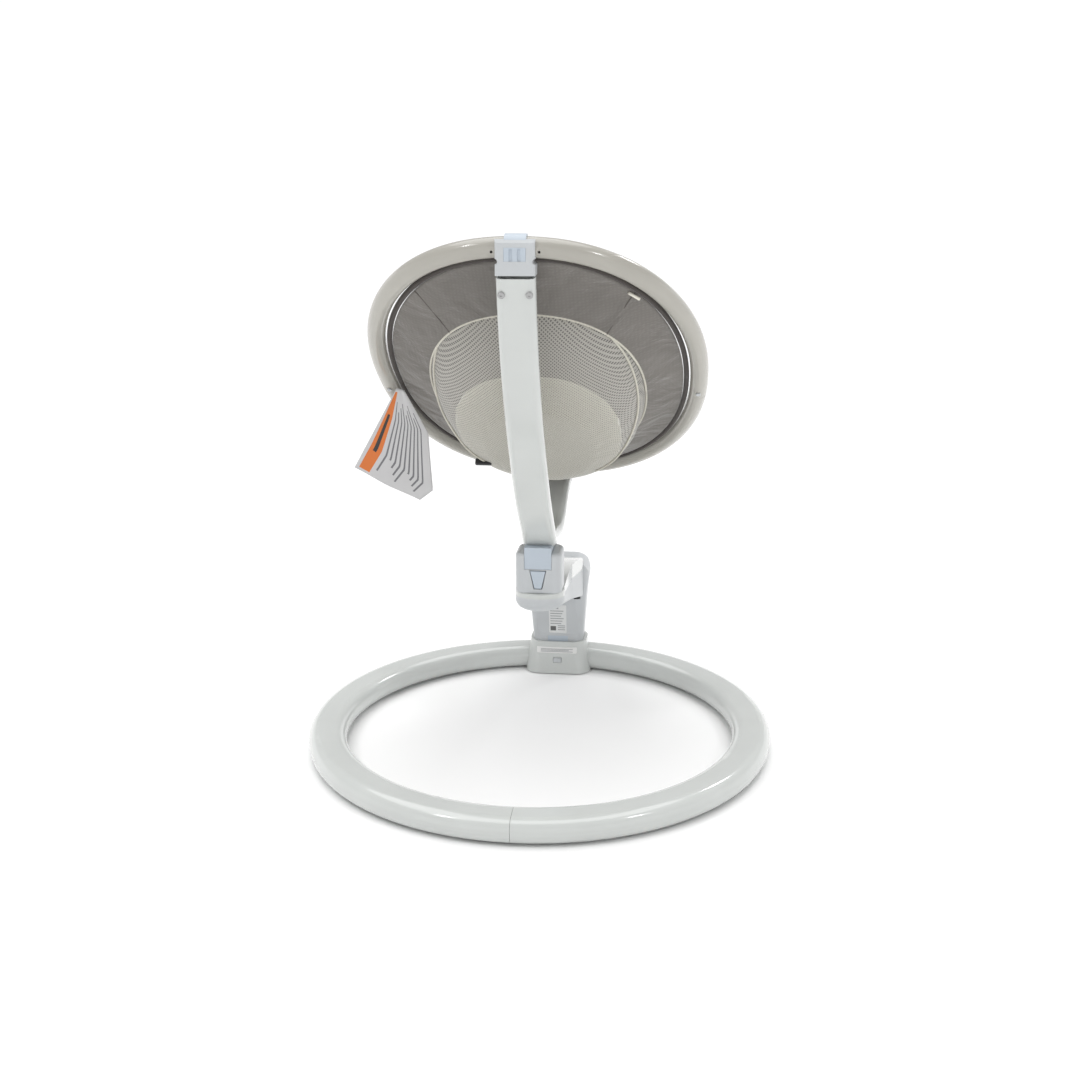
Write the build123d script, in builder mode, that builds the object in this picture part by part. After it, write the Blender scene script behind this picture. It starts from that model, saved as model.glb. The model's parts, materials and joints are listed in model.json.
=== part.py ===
"""Electric baby swing: a ring base, a motor column, a swaying turret and a hoop seat on two arms.

Millimetres, +Z up.  The origin is on the floor at the centre of the base ring.
+Y runs from the baby's head end to the motor column, and X is sideways.
"""
from build123d import *
import os
from math import atan2, cos, degrees, pi, radians, sin, sqrt, tan

os.makedirs("parts", exist_ok=True)

# ---- fits -----------------------------------------------------------------
slip = 0.3              # between a moving piece and what it passes through
snug = 0.15             # between fixed pieces that slide together on assembly
running = 0.05          # radial clearance of a shaft in its bearing

# ---- base ring ------------------------------------------------------------
base_radius = 280.0     # centreline of the tube
base_width = 49.0       # of the tube, measured along the radius
base_height = 32.0
base_corner = 14.0
base_wall = 2.8
pad_stand = 1.2         # the rubber pads hold the ring this far off the floor
pad_count = 8
pad_depth = 1.6         # recess of a pad in the tube
pad_radius = 9.0
seam_gap = 0.4
joiner_angle = 7.0      # the joiner reaches this many degrees each side of the seam
screw_radius = 2.0
screw_head_radius = 4.0

# ---- hub ------------------------------------------------------------------
hub_inner_y = 234.0     # edge nearest to the ring's centre
hub_outer_y = 304.0
hub_width = 98.0
hub_top_width = 84.0
hub_top_inset = 9.0     # how far the inner face leans outwards on its way up
hub_top_z = 48.0
hub_corner = 22.0
hub_wall = 3.0
ring_end_x = 22.0       # where each half of the ring stops inside the hub
socket_width = 40.0
socket_inner_y = 257.0
socket_outer_y = 291.0
socket_wall = 4.0
hub_button_width = 12.0
hub_button_height = 7.0
hub_button_z = 21.0
hub_button_proud = 1.5
hub_button_travel = 3.0

# ---- motor column ---------------------------------------------------------
column_foot_z = 38.0
column_foot_width = 74.0
column_waist_width = 84.0
column_head_width = 92.0
column_waist_z = 123.0
column_shoulder_z = 152.0
column_crown_z = 182.0
column_inner_y = 248.0
column_outer_y = 298.0
column_head_inner_y = 236.0
column_plan_corner = 19.0
column_wall = 3.0
column_seam_z = 132.0
column_middle_y = 272.0
panel_width = 92.0
panel_height = 80.0
panel_centre_x = -10.0
panel_centre_z = 112.0
panel_thickness = 6.0

# ---- drive housing that reaches from the column to the turret --------------
pivot_y = 17.0          # the turret's vertical axis
cup_radius = 32.5
cup_bottom_z = 182.0
cup_top_z = 208.0
cup_round = 12.0
beam_half_width = 30.0
beam_root_half_width = 38.0
beam_top_z = 202.0
beam_root_top_z = 183.0
beam_root_y = 262.0
beam_root_bottom_z = 122.0
housing_wall = 3.0
housing_seam_z = 197.0
housing_seam_slope = 0.14

# ---- gear train -----------------------------------------------------------
gear_module = 1.0
drive_teeth = 40
idler_teeth = 36
pinion_teeth = 12
gear_bottom_z = 189.5
gear_thickness = 6.0
gear_plate_top_z = 188.5
gear_plate_thickness = 2.0
idler_pin_radius = 2.5
motor_radius = 11.0
motor_length = 22.0
motor_shaft_radius = 1.5
shaft_radius = 6.0
bearing_radius = 10.0
bearing_height = 5.0

# ---- turret ---------------------------------------------------------------
turret_width = 60.0
turret_depth = 54.0
turret_corner = 13.0
turret_gap = 0.4        # above the cup
turret_top_z = 261.0
fork_width = 35.6       # the open slot between the turret's cheeks
fork_bottom_z = 240.0
well_width = 30.6       # the closed well below the fork
well_inner_y = 3.7
well_outer_y = 31.3
well_bottom_z = 215.5
latch_top_half = 10.0
latch_bottom_half = 4.5
latch_top_z = 238.0
latch_bottom_z = 214.5
latch_slit = 1.0
latch_thickness = 5.0
latch_travel = 2.2
latch_wall = 2.2

# ---- seat hoop ------------------------------------------------------------
hoop_half_width = 200.0
hoop_half_length = 286.0
hoop_squareness = 2.2   # exponent of the superellipse
hoop_tube_radius = 11.5
hoop_wall = 1.8
hoop_centre_y = 30.0
hoop_centre_z = 490.0
hoop_tilt = 37.5        # degrees, head end up
hoop_joint_s = 45.0     # the two halves meet this far towards the foot
hoop_gap = 0.3
snap_pin_radius = 3.0

# ---- arms -----------------------------------------------------------------
arm_width = 44.0
arm_thickness = 20.0
arm_corner = 9.0
arm_wall = 2.2
arm_screw_head_radius = 4.0
arm_screw_spacing = 31.0
arm_screw_depth = 8.0

# ---- soft goods -----------------------------------------------------------
fabric_thickness = 2.5
fabric_gap = 1.0        # between the hoop tube and the piping
piping_radius = 3.5
pouch_half_width = 134.0
pouch_half_length = 190.0
pouch_rim_depth = 25.0
pouch_depth = 84.0
strap_width = 25.0
strap_thickness = 1.6


# ============================ helpers =======================================
def save(piece, name):
    """Label a finished piece and write it out."""
    piece.part.label = name
    export_step(piece.part, "parts/" + name + ".step")


def radial_plane(angle):
    """Upright plane through the Z axis: its X points outwards at this angle, its Y up."""
    turn = radians(angle)
    return Plane(origin=(0, 0, 0), x_dir=(cos(turn), sin(turn), 0), z_dir=(sin(turn), -cos(turn), 0))


def side_plane(x):
    """Upright plane across X: its X is the model's Y and its Y is the model's Z."""
    return Plane(origin=(x, 0, 0), x_dir=(0, 1, 0), z_dir=(1, 0, 0))


def base_arc(start, sweep_angle, grow):
    """Piece of the base ring's section, grown all round, swept about the Z axis."""
    with BuildPart(mode=Mode.PRIVATE) as arc:
        with BuildSketch(radial_plane(start)):
            with Locations((base_radius, pad_stand + base_height / 2)):
                RectangleRounded(base_width + 2 * grow, base_height + 2 * grow, base_corner + grow)
        revolve(axis=Axis.Z, revolution_arc=sweep_angle)
    return arc.part


def hoop_plane(height):
    """Plane of the seat hoop, moved along its normal: X sideways, Y to the foot end."""
    tilt = radians(hoop_tilt)
    normal = Vector(0, sin(tilt), cos(tilt))
    centre = Vector(0, hoop_centre_y, hoop_centre_z) + normal * height
    return Plane(origin=centre, x_dir=(1, 0, 0), z_dir=normal)


def oval_point(half_width, half_length, angle, shift=0.0):
    """Point of a superellipse at a polar angle in degrees, 90 being the foot end."""
    turn = radians(angle)
    power = hoop_squareness
    reach = (abs(cos(turn) / half_width) ** power + abs(sin(turn) / half_length) ** power) ** (-1 / power)
    return (reach * cos(turn), reach * sin(turn) + shift)


def oval_points(half_width, half_length, start, stop, count, shift=0.0):
    step = (stop - start) / (count - 1)
    return [oval_point(half_width, half_length, start + step * i, shift) for i in range(count)]


def hoop_sweep(start, stop, radius, height=0.0, inset=0.0, count=17):
    """Round rod that follows the hoop's oval between two polar angles."""
    with BuildPart(mode=Mode.PRIVATE) as rod:
        with BuildLine(hoop_plane(height)) as path:
            Spline(*oval_points(hoop_half_width - inset, hoop_half_length - inset, start, stop, count))
        with BuildSketch(Plane(origin=path.line @ 0, z_dir=path.line % 0)):
            Circle(radius)
        sweep(path=path.line)
    return rod.part


def oval_loft(outlines):
    """Solid through closed ovals, each (height, half width, half length, shift to the foot)."""
    with BuildPart(mode=Mode.PRIVATE) as body:
        for height, half_width, half_length, shift in outlines:
            with BuildSketch(hoop_plane(height)):
                with BuildLine():
                    Spline(*oval_points(half_width, half_length, 0, 345, 24, shift), periodic=True)
                make_face()
        loft()
    return body.part


def gear_points(teeth):
    """Outline of a spur gear with involute flanks, one tooth centred on +Y."""
    pitch_radius = gear_module * teeth / 2
    base_circle = pitch_radius * cos(radians(20))
    tip_radius = pitch_radius + 0.85 * gear_module
    root_radius = pitch_radius - 1.2 * gear_module
    half_tooth = 0.43 * pi / teeth
    flank_start = max(base_circle, root_radius)

    def flank_angle(radius):
        roll = sqrt(max((radius / base_circle) ** 2 - 1, 0))
        pitch_roll = tan(radians(20))
        return half_tooth + (pitch_roll - radians(20)) - (roll - atan2(roll, 1))

    radii = [flank_start + (tip_radius - flank_start) * i / 3 for i in range(4)]
    flank = [(root_radius, flank_angle(flank_start))] + [(r, flank_angle(r)) for r in radii]
    points = []
    for tooth in range(teeth):
        middle = pi / 2 + 2 * pi * tooth / teeth
        points += [(r * cos(middle - a), r * sin(middle - a)) for r, a in flank]
        points += [(r * cos(middle + a), r * sin(middle + a)) for r, a in reversed(flank)]
    return points


def spur_gear(teeth, centre_y, turn, bore_radius):
    """Spur gear on a vertical axis, turned by some degrees so that it meshes."""
    with BuildPart(mode=Mode.PRIVATE) as gear:
        with BuildSketch(Plane(origin=(0, centre_y, gear_bottom_z)).rotated((0, 0, turn))):
            Polygon(*gear_points(teeth), align=None)
            Circle(bore_radius, mode=Mode.SUBTRACT)
        extrude(amount=gear_thickness)
    return gear.part


def coil(start, direction, length, radius, wire, turns):
    """Helical spring from a start point along a direction."""
    with BuildPart(mode=Mode.PRIVATE) as spring:
        with BuildLine() as path:
            Helix(pitch=length / turns, height=length, radius=radius, center=start, direction=direction)
        with BuildSketch(Plane(origin=path.line @ 0, z_dir=path.line % 0)):
            Circle(wire)
        sweep(path=path.line, is_frenet=True)
    return spring.part


# ============================ base ring =====================================
seam_angle = degrees(seam_gap / 2 / base_radius)
hub_angle = degrees(atan2(ring_end_x, base_radius))
half_sweep = 180 - seam_angle - hub_angle
pad_angles = [-90 + 360 / pad_count * (i + 0.5) for i in range(pad_count)]
joint_screw_angles = [-90 - joiner_angle / 2, -90 + joiner_angle / 2]


def floor_discs(angles, radius, bottom, top):
    """Upright discs under the middle of the base tube."""
    with BuildPart(mode=Mode.PRIVATE) as discs:
        for angle in angles:
            turn = radians(angle)
            with BuildSketch(Plane(origin=(base_radius * cos(turn), base_radius * sin(turn), bottom))):
                Circle(radius)
        extrude(amount=top - bottom)
    return discs.part


def ring_half(start):
    """Hollow half of the base ring, with recesses for its pads and its joint screw."""
    with BuildPart() as half:
        add(base_arc(start, half_sweep, 0))
        add(base_arc(start, half_sweep, -base_wall), mode=Mode.SUBTRACT)
        add(floor_discs(joint_screw_angles, screw_radius, 0, pad_stand + base_wall + 1), mode=Mode.SUBTRACT)
        add(floor_discs(joint_screw_angles, screw_head_radius, 0, pad_stand + 1.0), mode=Mode.SUBTRACT)
        add(floor_discs(pad_angles, pad_radius, 0, pad_stand + pad_depth), mode=Mode.SUBTRACT)
    return half


base_ring_right = ring_half(-90 + seam_angle)
save(base_ring_right, "base_ring_right")

base_ring_left = ring_half(90 + hub_angle)
save(base_ring_left, "base_ring_left")

with BuildPart() as ring_joiner:
    add(base_arc(-90 - joiner_angle, 2 * joiner_angle, -base_wall - snug))
    add(base_arc(-90 - joiner_angle, 2 * joiner_angle, -base_wall - 4.0), mode=Mode.SUBTRACT)
    add(floor_discs(joint_screw_angles, screw_radius, 0, pad_stand + 8), mode=Mode.SUBTRACT)
save(ring_joiner, "ring_joiner")

with BuildPart() as ring_screws:
    add(floor_discs(joint_screw_angles, screw_radius, pad_stand + 1.0, pad_stand + 7))
    add(floor_discs(joint_screw_angles, screw_head_radius - 0.2, pad_stand - 0.2, pad_stand + 1.0))
save(ring_screws, "ring_screws")

with BuildPart() as foot_pads:
    add(floor_discs(pad_angles, pad_radius - 0.2, 0, pad_stand + pad_depth))
    chamfer(foot_pads.faces().group_by(Axis.Z)[0].edges(), 0.5)
save(foot_pads, "foot_pads")


# ============================ column form ===================================
form_reach = 60.0       # the outlines are extruded past the widest section
form_depth = 400.0
column_sections = [(column_foot_z - 5, column_foot_width, column_inner_y),
                   (column_shoulder_z, column_head_width, column_head_inner_y),
                   (column_crown_z + 10, column_head_width, column_head_inner_y)]


def column_side(grow):
    """Outline seen from +X: the inner face leans over and the crown is rounded."""
    bottom = column_foot_z - grow
    foot_y = column_inner_y - grow
    head_y = column_head_inner_y - grow
    outer_y = column_outer_y + grow
    crown = column_crown_z + grow
    with BuildSketch(side_plane(-form_reach)) as side:
        with BuildLine():
            Polyline((foot_y, bottom), (foot_y, 60), (head_y + 5, 105), (head_y, 140), (head_y, crown - 16))
            ThreePointArc((head_y, crown - 16), (head_y + 8, crown - 5), (head_y + 26, crown))
            ThreePointArc((head_y + 26, crown), (outer_y - 11, crown - 9), (outer_y, crown - 32))
            Polyline((outer_y, crown - 32), (outer_y, bottom), (foot_y, bottom))
        make_face()
    return side.sketch


def column_front(grow):
    """Outline seen along +Y: it widens upwards to the shoulders and closes in a low dome."""
    foot = column_foot_width / 2 + grow
    waist = column_waist_width / 2 + grow
    head = column_head_width / 2 + grow
    shoulder = column_shoulder_z
    bottom = column_foot_z - grow
    crown = column_crown_z + grow
    with BuildSketch(Plane((0, form_depth, 0), x_dir=(1, 0, 0), z_dir=(0, -1, 0))) as front:
        with BuildLine():
            Polyline((-head, shoulder), (-waist, column_waist_z), (-foot, 50), (-foot, bottom),
                     (foot, bottom), (foot, 50), (waist, column_waist_z), (head, shoulder))
            ThreePointArc((head, shoulder), (head - 10, crown - 9), (head - 34, crown - 0.6))
            ThreePointArc((head - 34, crown - 0.6), (0, crown), (34 - head, crown - 0.6))
            ThreePointArc((34 - head, crown - 0.6), (10 - head, crown - 9), (-head, shoulder))
        make_face()
    return front.sketch


def column_form(grow):
    """The column's outer form, from three outlines that cut each other."""
    with BuildPart(mode=Mode.PRIVATE) as form:
        for height, width, inner_y in column_sections:
            with BuildSketch(Plane((0, (inner_y + column_outer_y) / 2, height))):
                RectangleRounded(width + 2 * grow, column_outer_y - inner_y + 2 * grow, column_plan_corner + grow)
        loft(ruled=True)
        extrude(column_side(grow), amount=2 * form_reach, mode=Mode.INTERSECT)
        extrude(column_front(grow), amount=form_depth, mode=Mode.INTERSECT)
    return form.part


# ============================ hub ===========================================
hub_middle_y = (hub_inner_y + hub_outer_y) / 2
hub_depth = hub_outer_y - hub_inner_y
hub_top_depth = hub_depth - hub_top_inset - 1.0
hub_top_middle_y = hub_outer_y - 1.0 - hub_top_depth / 2
hub_screw_places = [(-34.0, 244.5), (34.0, 244.5), (0.0, 297.0)]


def hub_solid(grow, bottom_z, top_z):
    """The hub's outer form, grown or shrunk sideways by the same amount."""
    with BuildPart(mode=Mode.PRIVATE) as form:
        with BuildSketch(Plane((0, hub_middle_y, bottom_z))):
            RectangleRounded(hub_width + 2 * grow, hub_depth + 2 * grow, hub_corner + grow)
        with BuildSketch(Plane((0, hub_top_middle_y, top_z))):
            RectangleRounded(hub_top_width + 2 * grow, hub_top_depth + 2 * grow, hub_corner + grow)
        loft()
    return form.part


ring_in_hub = (base_arc(90 + hub_angle, 20, snug), base_arc(90 - hub_angle - 20, 20, snug))

with BuildPart() as hub_shell:
    add(hub_solid(0, pad_stand, hub_top_z))
    add(hub_solid(-hub_wall, pad_stand - 0.1, hub_top_z - hub_wall), mode=Mode.SUBTRACT)
    for screw_x, screw_y in hub_screw_places:
        with BuildSketch(Plane((screw_x, screw_y, pad_stand + 3.0))):
            Circle(4.0)
        extrude(until=Until.NEXT)
        with BuildSketch(Plane((screw_x, screw_y, pad_stand + 2.0))):
            Circle(screw_radius)
        extrude(amount=10, mode=Mode.SUBTRACT)
    add(ring_in_hub, mode=Mode.SUBTRACT)
    add(column_form(slip), mode=Mode.SUBTRACT)
    with BuildSketch(Plane((0, hub_inner_y - 5, hub_button_z), x_dir=(1, 0, 0), z_dir=(0, 1, 0))):
        Rectangle(hub_button_width + 2 * slip, hub_button_height + 2 * slip)
    extrude(amount=14, mode=Mode.SUBTRACT)
save(hub_shell, "hub_shell")

with BuildPart() as hub_base_plate:
    add(hub_solid(-hub_wall - snug, pad_stand, hub_top_z))
    split(bisect_by=Plane.XY.offset(pad_stand + 2.5), keep=Keep.BOTTOM)
    add(ring_in_hub, mode=Mode.SUBTRACT)
    for screw_x, screw_y in hub_screw_places:
        with BuildSketch(Plane((screw_x, screw_y, pad_stand))):
            Circle(screw_radius)
        extrude(amount=3, mode=Mode.SUBTRACT)
        with BuildSketch(Plane((screw_x, screw_y, pad_stand))):
            Circle(screw_head_radius - 0.5)
        extrude(amount=1.0, mode=Mode.SUBTRACT)
save(hub_base_plate, "hub_base_plate")

with BuildPart() as hub_screws:
    for screw_x, screw_y in hub_screw_places:
        with BuildSketch(Plane((screw_x, screw_y, pad_stand + 1.0))):
            Circle(screw_radius)
        extrude(amount=8)
        with BuildSketch(Plane((screw_x, screw_y, pad_stand))):
            Circle(screw_head_radius - 0.6)
        extrude(amount=1.0)
save(hub_screws, "hub_screws")

socket_middle_y = (socket_inner_y + socket_outer_y) / 2
socket_depth = socket_outer_y - socket_inner_y
socket_bottom_z = pad_stand + 2.6
socket_top_z = column_foot_z - slip - 0.1
stem_radius = 2.2

with BuildPart() as hub_socket:
    with BuildSketch(Plane((0, socket_middle_y, socket_bottom_z))):
        Rectangle(socket_width, socket_depth)
    extrude(amount=socket_top_z - socket_bottom_z)
    with BuildSketch(Plane((0, socket_middle_y, socket_bottom_z + 3))):
        Rectangle(socket_width - 2 * socket_wall, socket_depth - 2 * socket_wall)
    extrude(amount=socket_top_z, mode=Mode.SUBTRACT)
    with BuildSketch(Plane((0, socket_inner_y - 1, hub_button_z), x_dir=(1, 0, 0), z_dir=(0, 1, 0))):
        Circle(stem_radius + slip)
    extrude(amount=socket_wall + 2, mode=Mode.SUBTRACT)
    add(hub_solid(-hub_wall - snug, pad_stand, hub_top_z), mode=Mode.INTERSECT)
save(hub_socket, "hub_socket")

hub_face_y = hub_inner_y + hub_top_inset * (hub_button_z - pad_stand) / (hub_top_z - pad_stand)
button_flange_y = hub_face_y + hub_wall + 2.0
button_back_y = button_flange_y + 2.5

with BuildPart() as hub_button:
    with BuildSketch(Plane((0, hub_face_y - hub_button_proud, hub_button_z), x_dir=(1, 0, 0), z_dir=(0, 1, 0))):
        RectangleRounded(hub_button_width, hub_button_height, 1.2)
    extrude(amount=button_flange_y + 0.1 - hub_face_y + hub_button_proud)
    chamfer(hub_button.faces().sort_by(Axis.Y)[0].edges(), 0.6)
    with BuildSketch(Plane((0, button_flange_y, hub_button_z), x_dir=(1, 0, 0), z_dir=(0, 1, 0))):
        Rectangle(hub_button_width + 4, hub_button_height + 4)
    extrude(amount=2.5)
    with BuildSketch(Plane((0, button_back_y, hub_button_z), x_dir=(1, 0, 0), z_dir=(0, 1, 0))):
        Circle(stem_radius)
    extrude(amount=socket_inner_y - button_back_y + 0.5)
save(hub_button, "hub_button")

spring_start_y = button_back_y + hub_button_travel + 0.6
hub_spring = coil((0, spring_start_y, hub_button_z), (0, 1, 0), socket_inner_y - 0.6 - spring_start_y, 3.4, 0.35, 4)
with BuildPart() as hub_button_spring:
    add(hub_spring)
save(hub_button_spring, "hub_button_spring")


# ============================ motor column and drive housing ================
# ---- the drive housing's forms, which the column is cut to fit ---------------
def beam_form(grow, root_y):
    """The beam that reaches from the column to the turret's cup."""
    top = beam_top_z + grow
    root_top = beam_root_top_z + grow
    root_bottom = beam_root_bottom_z - grow
    tip_bottom = cup_bottom_z + 4 - grow
    half = beam_half_width + grow
    root_half = beam_root_half_width + grow
    end_y = root_y + min(grow, 0)
    with BuildPart(mode=Mode.PRIVATE) as form:
        with BuildSketch(side_plane(-form_reach)):
            with BuildLine():
                ThreePointArc((pivot_y, top), (130, top - 1.5), (225, root_top + 3))
                Polyline((225, root_top + 3), (end_y, root_top - 9), (end_y, root_bottom + 4), (230, root_bottom + 4))
                ThreePointArc((230, root_bottom + 4), (120, 157 - grow), (pivot_y, tip_bottom))
                Line((pivot_y, tip_bottom), (pivot_y, top))
            make_face()
        extrude(amount=2 * form_reach)
        with BuildSketch(Plane.XY.offset(100)):
            with BuildLine():
                Polyline((-half, pivot_y), (-half, 150), (-root_half, 232), (-root_half, end_y),
                         (root_half, end_y), (root_half, 232), (half, 150), (half, pivot_y), close=True)
            make_face()
        extrude(amount=120, mode=Mode.INTERSECT)
    return form.part


def cup_form(grow):
    """The round cup under the turret."""
    with BuildPart(mode=Mode.PRIVATE) as form:
        with BuildSketch(Plane((0, pivot_y, cup_bottom_z - grow))):
            Circle(cup_radius + grow)
        extrude(amount=cup_top_z - cup_bottom_z + 2 * grow)
        fillet(form.faces().group_by(Axis.Z)[0].edges(), cup_round + grow)
        fillet(form.faces().group_by(Axis.Z)[-1].edges(), 2.0 if grow == 0 else 0.5)
    return form.part


housing_root_y = beam_root_y - 14.0


def housing_form(grow):
    """Beam and cup together."""
    with BuildPart(mode=Mode.PRIVATE) as form:
        add(beam_form(grow, housing_root_y))
        add(cup_form(grow))
    return form.part


column_outer = column_form(0)
column_inner = column_form(-column_wall)
housing_outer = housing_form(0)
housing_inner = housing_form(-housing_wall)
beam_clearance = beam_form(snug, housing_root_y)


def slab(axis_low, axis_high, along):
    """Wide block between two levels of one axis, used to take a slice of a form."""
    middle = (axis_low + axis_high) / 2
    size = axis_high - axis_low
    with BuildPart(mode=Mode.PRIVATE) as block:
        if along == "z":
            with Locations((0, 250, middle)):
                Box(300, 500, size)
        else:
            with Locations((0, middle, 150)):
                Box(300, size, 400)
    return block.part


panel_plane = Plane((panel_centre_x, column_outer_y, panel_centre_z), x_dir=(-1, 0, 0), z_dir=(0, 1, 0))
panel_corner = 30.0


def panel_block(grow, start, thickness):
    """Rounded plate on the column's outer face."""
    with BuildPart(mode=Mode.PRIVATE) as plate:
        with BuildSketch(panel_plane.offset(start)):
            RectangleRounded(panel_width + 2 * grow, panel_height + 2 * grow, panel_corner + grow)
        extrude(amount=thickness)
    return plate.part


port_x = 29.0
port_z = 120.0
port_width = 9.0
port_height = 4.5
port_body_depth = 9.0
jack_x = 20.0
jack_z = 56.0
jack_radius = 3.0
label_width = 26.0
label_height = 46.0
label_centre_z = 84.0
label_thickness = 0.3
tab_width = 30.0
tab_height = 9.0
tab_bottom_z = hub_top_z - 1.0
sticker_width = 60.0
sticker_height = 9.0
sticker_z = 36.0


def column_hole(x, z, width, height, depth):
    """Block through the inner face of the column."""
    with BuildPart(mode=Mode.PRIVATE) as hole:
        with BuildSketch(Plane((x, column_head_inner_y - 4, z), x_dir=(1, 0, 0), z_dir=(0, 1, 0))):
            Rectangle(width, height)
        extrude(amount=depth)
    return hole.part


spigot_width = socket_width - 2 * socket_wall - 2 * slip
spigot_depth = socket_depth - 2 * socket_wall - 2 * slip
spigot_bottom_z = socket_bottom_z + 3 + slip
spigot_top_z = column_foot_z + 16
screw_seat = 5.0        # depth of a screw's head below the outer face
column_screw_places = [(-28.0, 70.0), (28.0, 70.0), (-30.0, 108.0), (30.0, 108.0)]
boss_radius = 4.5


def spigot_form(grow):
    """The tongue under the column that drops into the hub's socket."""
    with BuildPart(mode=Mode.PRIVATE) as tongue:
        with BuildSketch(Plane((0, socket_middle_y, spigot_bottom_z))):
            RectangleRounded(spigot_width + 2 * grow, spigot_depth + 2 * grow, 2.0)
        extrude(amount=spigot_top_z - spigot_bottom_z)
    return tongue.part


def column_rods(radius, low_y, high_y):
    """Rods along Y at the column's screw places."""
    with BuildPart(mode=Mode.PRIVATE) as rods:
        with BuildSketch(Plane((0, high_y, 0), x_dir=(1, 0, 0), z_dir=(0, -1, 0))):
            with Locations(*column_screw_places):
                Circle(radius)
        extrude(amount=high_y - low_y)
    return rods.part


def jack_rod(radius, low_y, high_y):
    """Rod along Y through the power inlet."""
    with BuildPart(mode=Mode.PRIVATE) as rod:
        with BuildSketch(Plane((jack_x, high_y, jack_z), x_dir=(1, 0, 0), z_dir=(0, -1, 0))):
            Circle(radius)
        extrude(amount=high_y - low_y)
    return rod.part


def column_shell(lowest, highest, along):
    """Hollow slice of the column."""
    with BuildPart() as shell:
        add(column_outer)
        add(column_inner, mode=Mode.SUBTRACT)
        add(beam_clearance, mode=Mode.SUBTRACT)
        add(spigot_form(snug), mode=Mode.SUBTRACT)
        add(slab(lowest, highest, along), mode=Mode.INTERSECT)
    return shell


column_inner_shell = column_shell(0, column_middle_y, "y")
with column_inner_shell:
    add(slab(0, column_seam_z, "z"), mode=Mode.INTERSECT)
    with BuildPart(mode=Mode.PRIVATE) as bosses:
        add(column_rods(boss_radius, 200, column_middle_y))
        add(column_outer, mode=Mode.INTERSECT)
        add(column_rods(screw_radius, column_middle_y - 10, column_middle_y + 1), mode=Mode.SUBTRACT)
    add(bosses.part)
    add(column_hole(port_x, port_z, port_width + 1, port_height + 1, 30), mode=Mode.SUBTRACT)
    add(column_hole(0, tab_bottom_z + tab_height / 2, tab_width + 0.4, tab_height + 0.4, 20), mode=Mode.SUBTRACT)
save(column_inner_shell, "column_inner_shell")

column_outer_shell = column_shell(column_middle_y, 400, "y")
with column_outer_shell:
    add(slab(0, column_seam_z, "z"), mode=Mode.INTERSECT)
    add(column_rods(boss_radius, column_middle_y, column_outer_y - 1))
    add(column_rods(screw_radius, column_middle_y - 1, column_outer_y + 1), mode=Mode.SUBTRACT)
    add(column_rods(screw_head_radius, column_outer_y - screw_seat, column_outer_y + 1), mode=Mode.SUBTRACT)
    add(panel_block(snug, -1.5, 10), mode=Mode.SUBTRACT)
    add(jack_rod(jack_radius + 1.6, column_outer_y - 12, column_outer_y + 1), mode=Mode.SUBTRACT)
save(column_outer_shell, "column_outer_shell")

column_head_cover = column_shell(0, 400, "y")
with column_head_cover:
    add(slab(column_seam_z, 300, "z"), mode=Mode.INTERSECT)
    add(panel_block(snug, -1.5, 10), mode=Mode.SUBTRACT)
save(column_head_cover, "column_head_cover")

with BuildPart() as control_panel:
    add(panel_block(0, -1.4, panel_thickness))
    fillet(control_panel.faces().sort_by(Axis.Y)[-1].edges(), 2.0)
save(control_panel, "control_panel")


with BuildPart() as column_screws:
    add(column_rods(screw_radius, column_middle_y - 9, column_outer_y - screw_seat))
    add(column_rods(screw_head_radius - 0.2, column_outer_y - screw_seat, column_outer_y - screw_seat + 2.2))
save(column_screws, "column_screws")

with BuildPart() as column_spigot:
    add(spigot_form(0))
    with BuildSketch(Plane((0, socket_middle_y, column_foot_z + column_wall + snug))):
        Rectangle(spigot_width + 16, spigot_depth + 6)
    extrude(amount=4.0)
    with BuildSketch(Plane((0, socket_inner_y, hub_button_z), x_dir=(1, 0, 0), z_dir=(0, 1, 0))):
        Circle(stem_radius + 1.0)
    extrude(amount=socket_wall + 6, mode=Mode.SUBTRACT)
save(column_spigot, "column_spigot")

with BuildPart() as release_tab:
    with BuildSketch(Plane((0, column_inner_y + 0.6, tab_bottom_z + tab_height / 2),
                           x_dir=(1, 0, 0), z_dir=(0, 1, 0))):
        RectangleRounded(tab_width, tab_height, 1.0)
    extrude(amount=column_wall + 1.0)
save(release_tab, "release_tab")

with BuildPart() as usb_port:
    with BuildSketch(Plane((port_x, column_head_inner_y + 4.5, port_z), x_dir=(1, 0, 0), z_dir=(0, 1, 0))):
        Rectangle(port_width, port_height)
        Rectangle(port_width - 1.2, port_height - 1.2, mode=Mode.SUBTRACT)
    extrude(amount=port_body_depth)
    with BuildSketch(Plane((port_x, column_head_inner_y + 6.0, port_z), x_dir=(1, 0, 0), z_dir=(0, 1, 0))):
        Rectangle(port_width - 1.2, port_height - 1.2)
    extrude(amount=port_body_depth - 3.0)
save(usb_port, "usb_port")

board_y = 284.0
with BuildPart() as circuit_board:
    with BuildSketch(Plane((0, board_y, 100), x_dir=(1, 0, 0), z_dir=(0, 1, 0))):
        Rectangle(46, 50)
    extrude(amount=1.6)
    with BuildSketch(Plane((0, board_y, 100), x_dir=(1, 0, 0), z_dir=(0, -1, 0))):
        with GridLocations(16, 18, 2, 2):
            Rectangle(8, 8)
    extrude(amount=2.0)
save(circuit_board, "circuit_board")

with BuildPart() as speaker:
    with BuildSketch(Plane((0, 262, 162))):
        Circle(14)
    extrude(amount=6)
save(speaker, "speaker")

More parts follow.
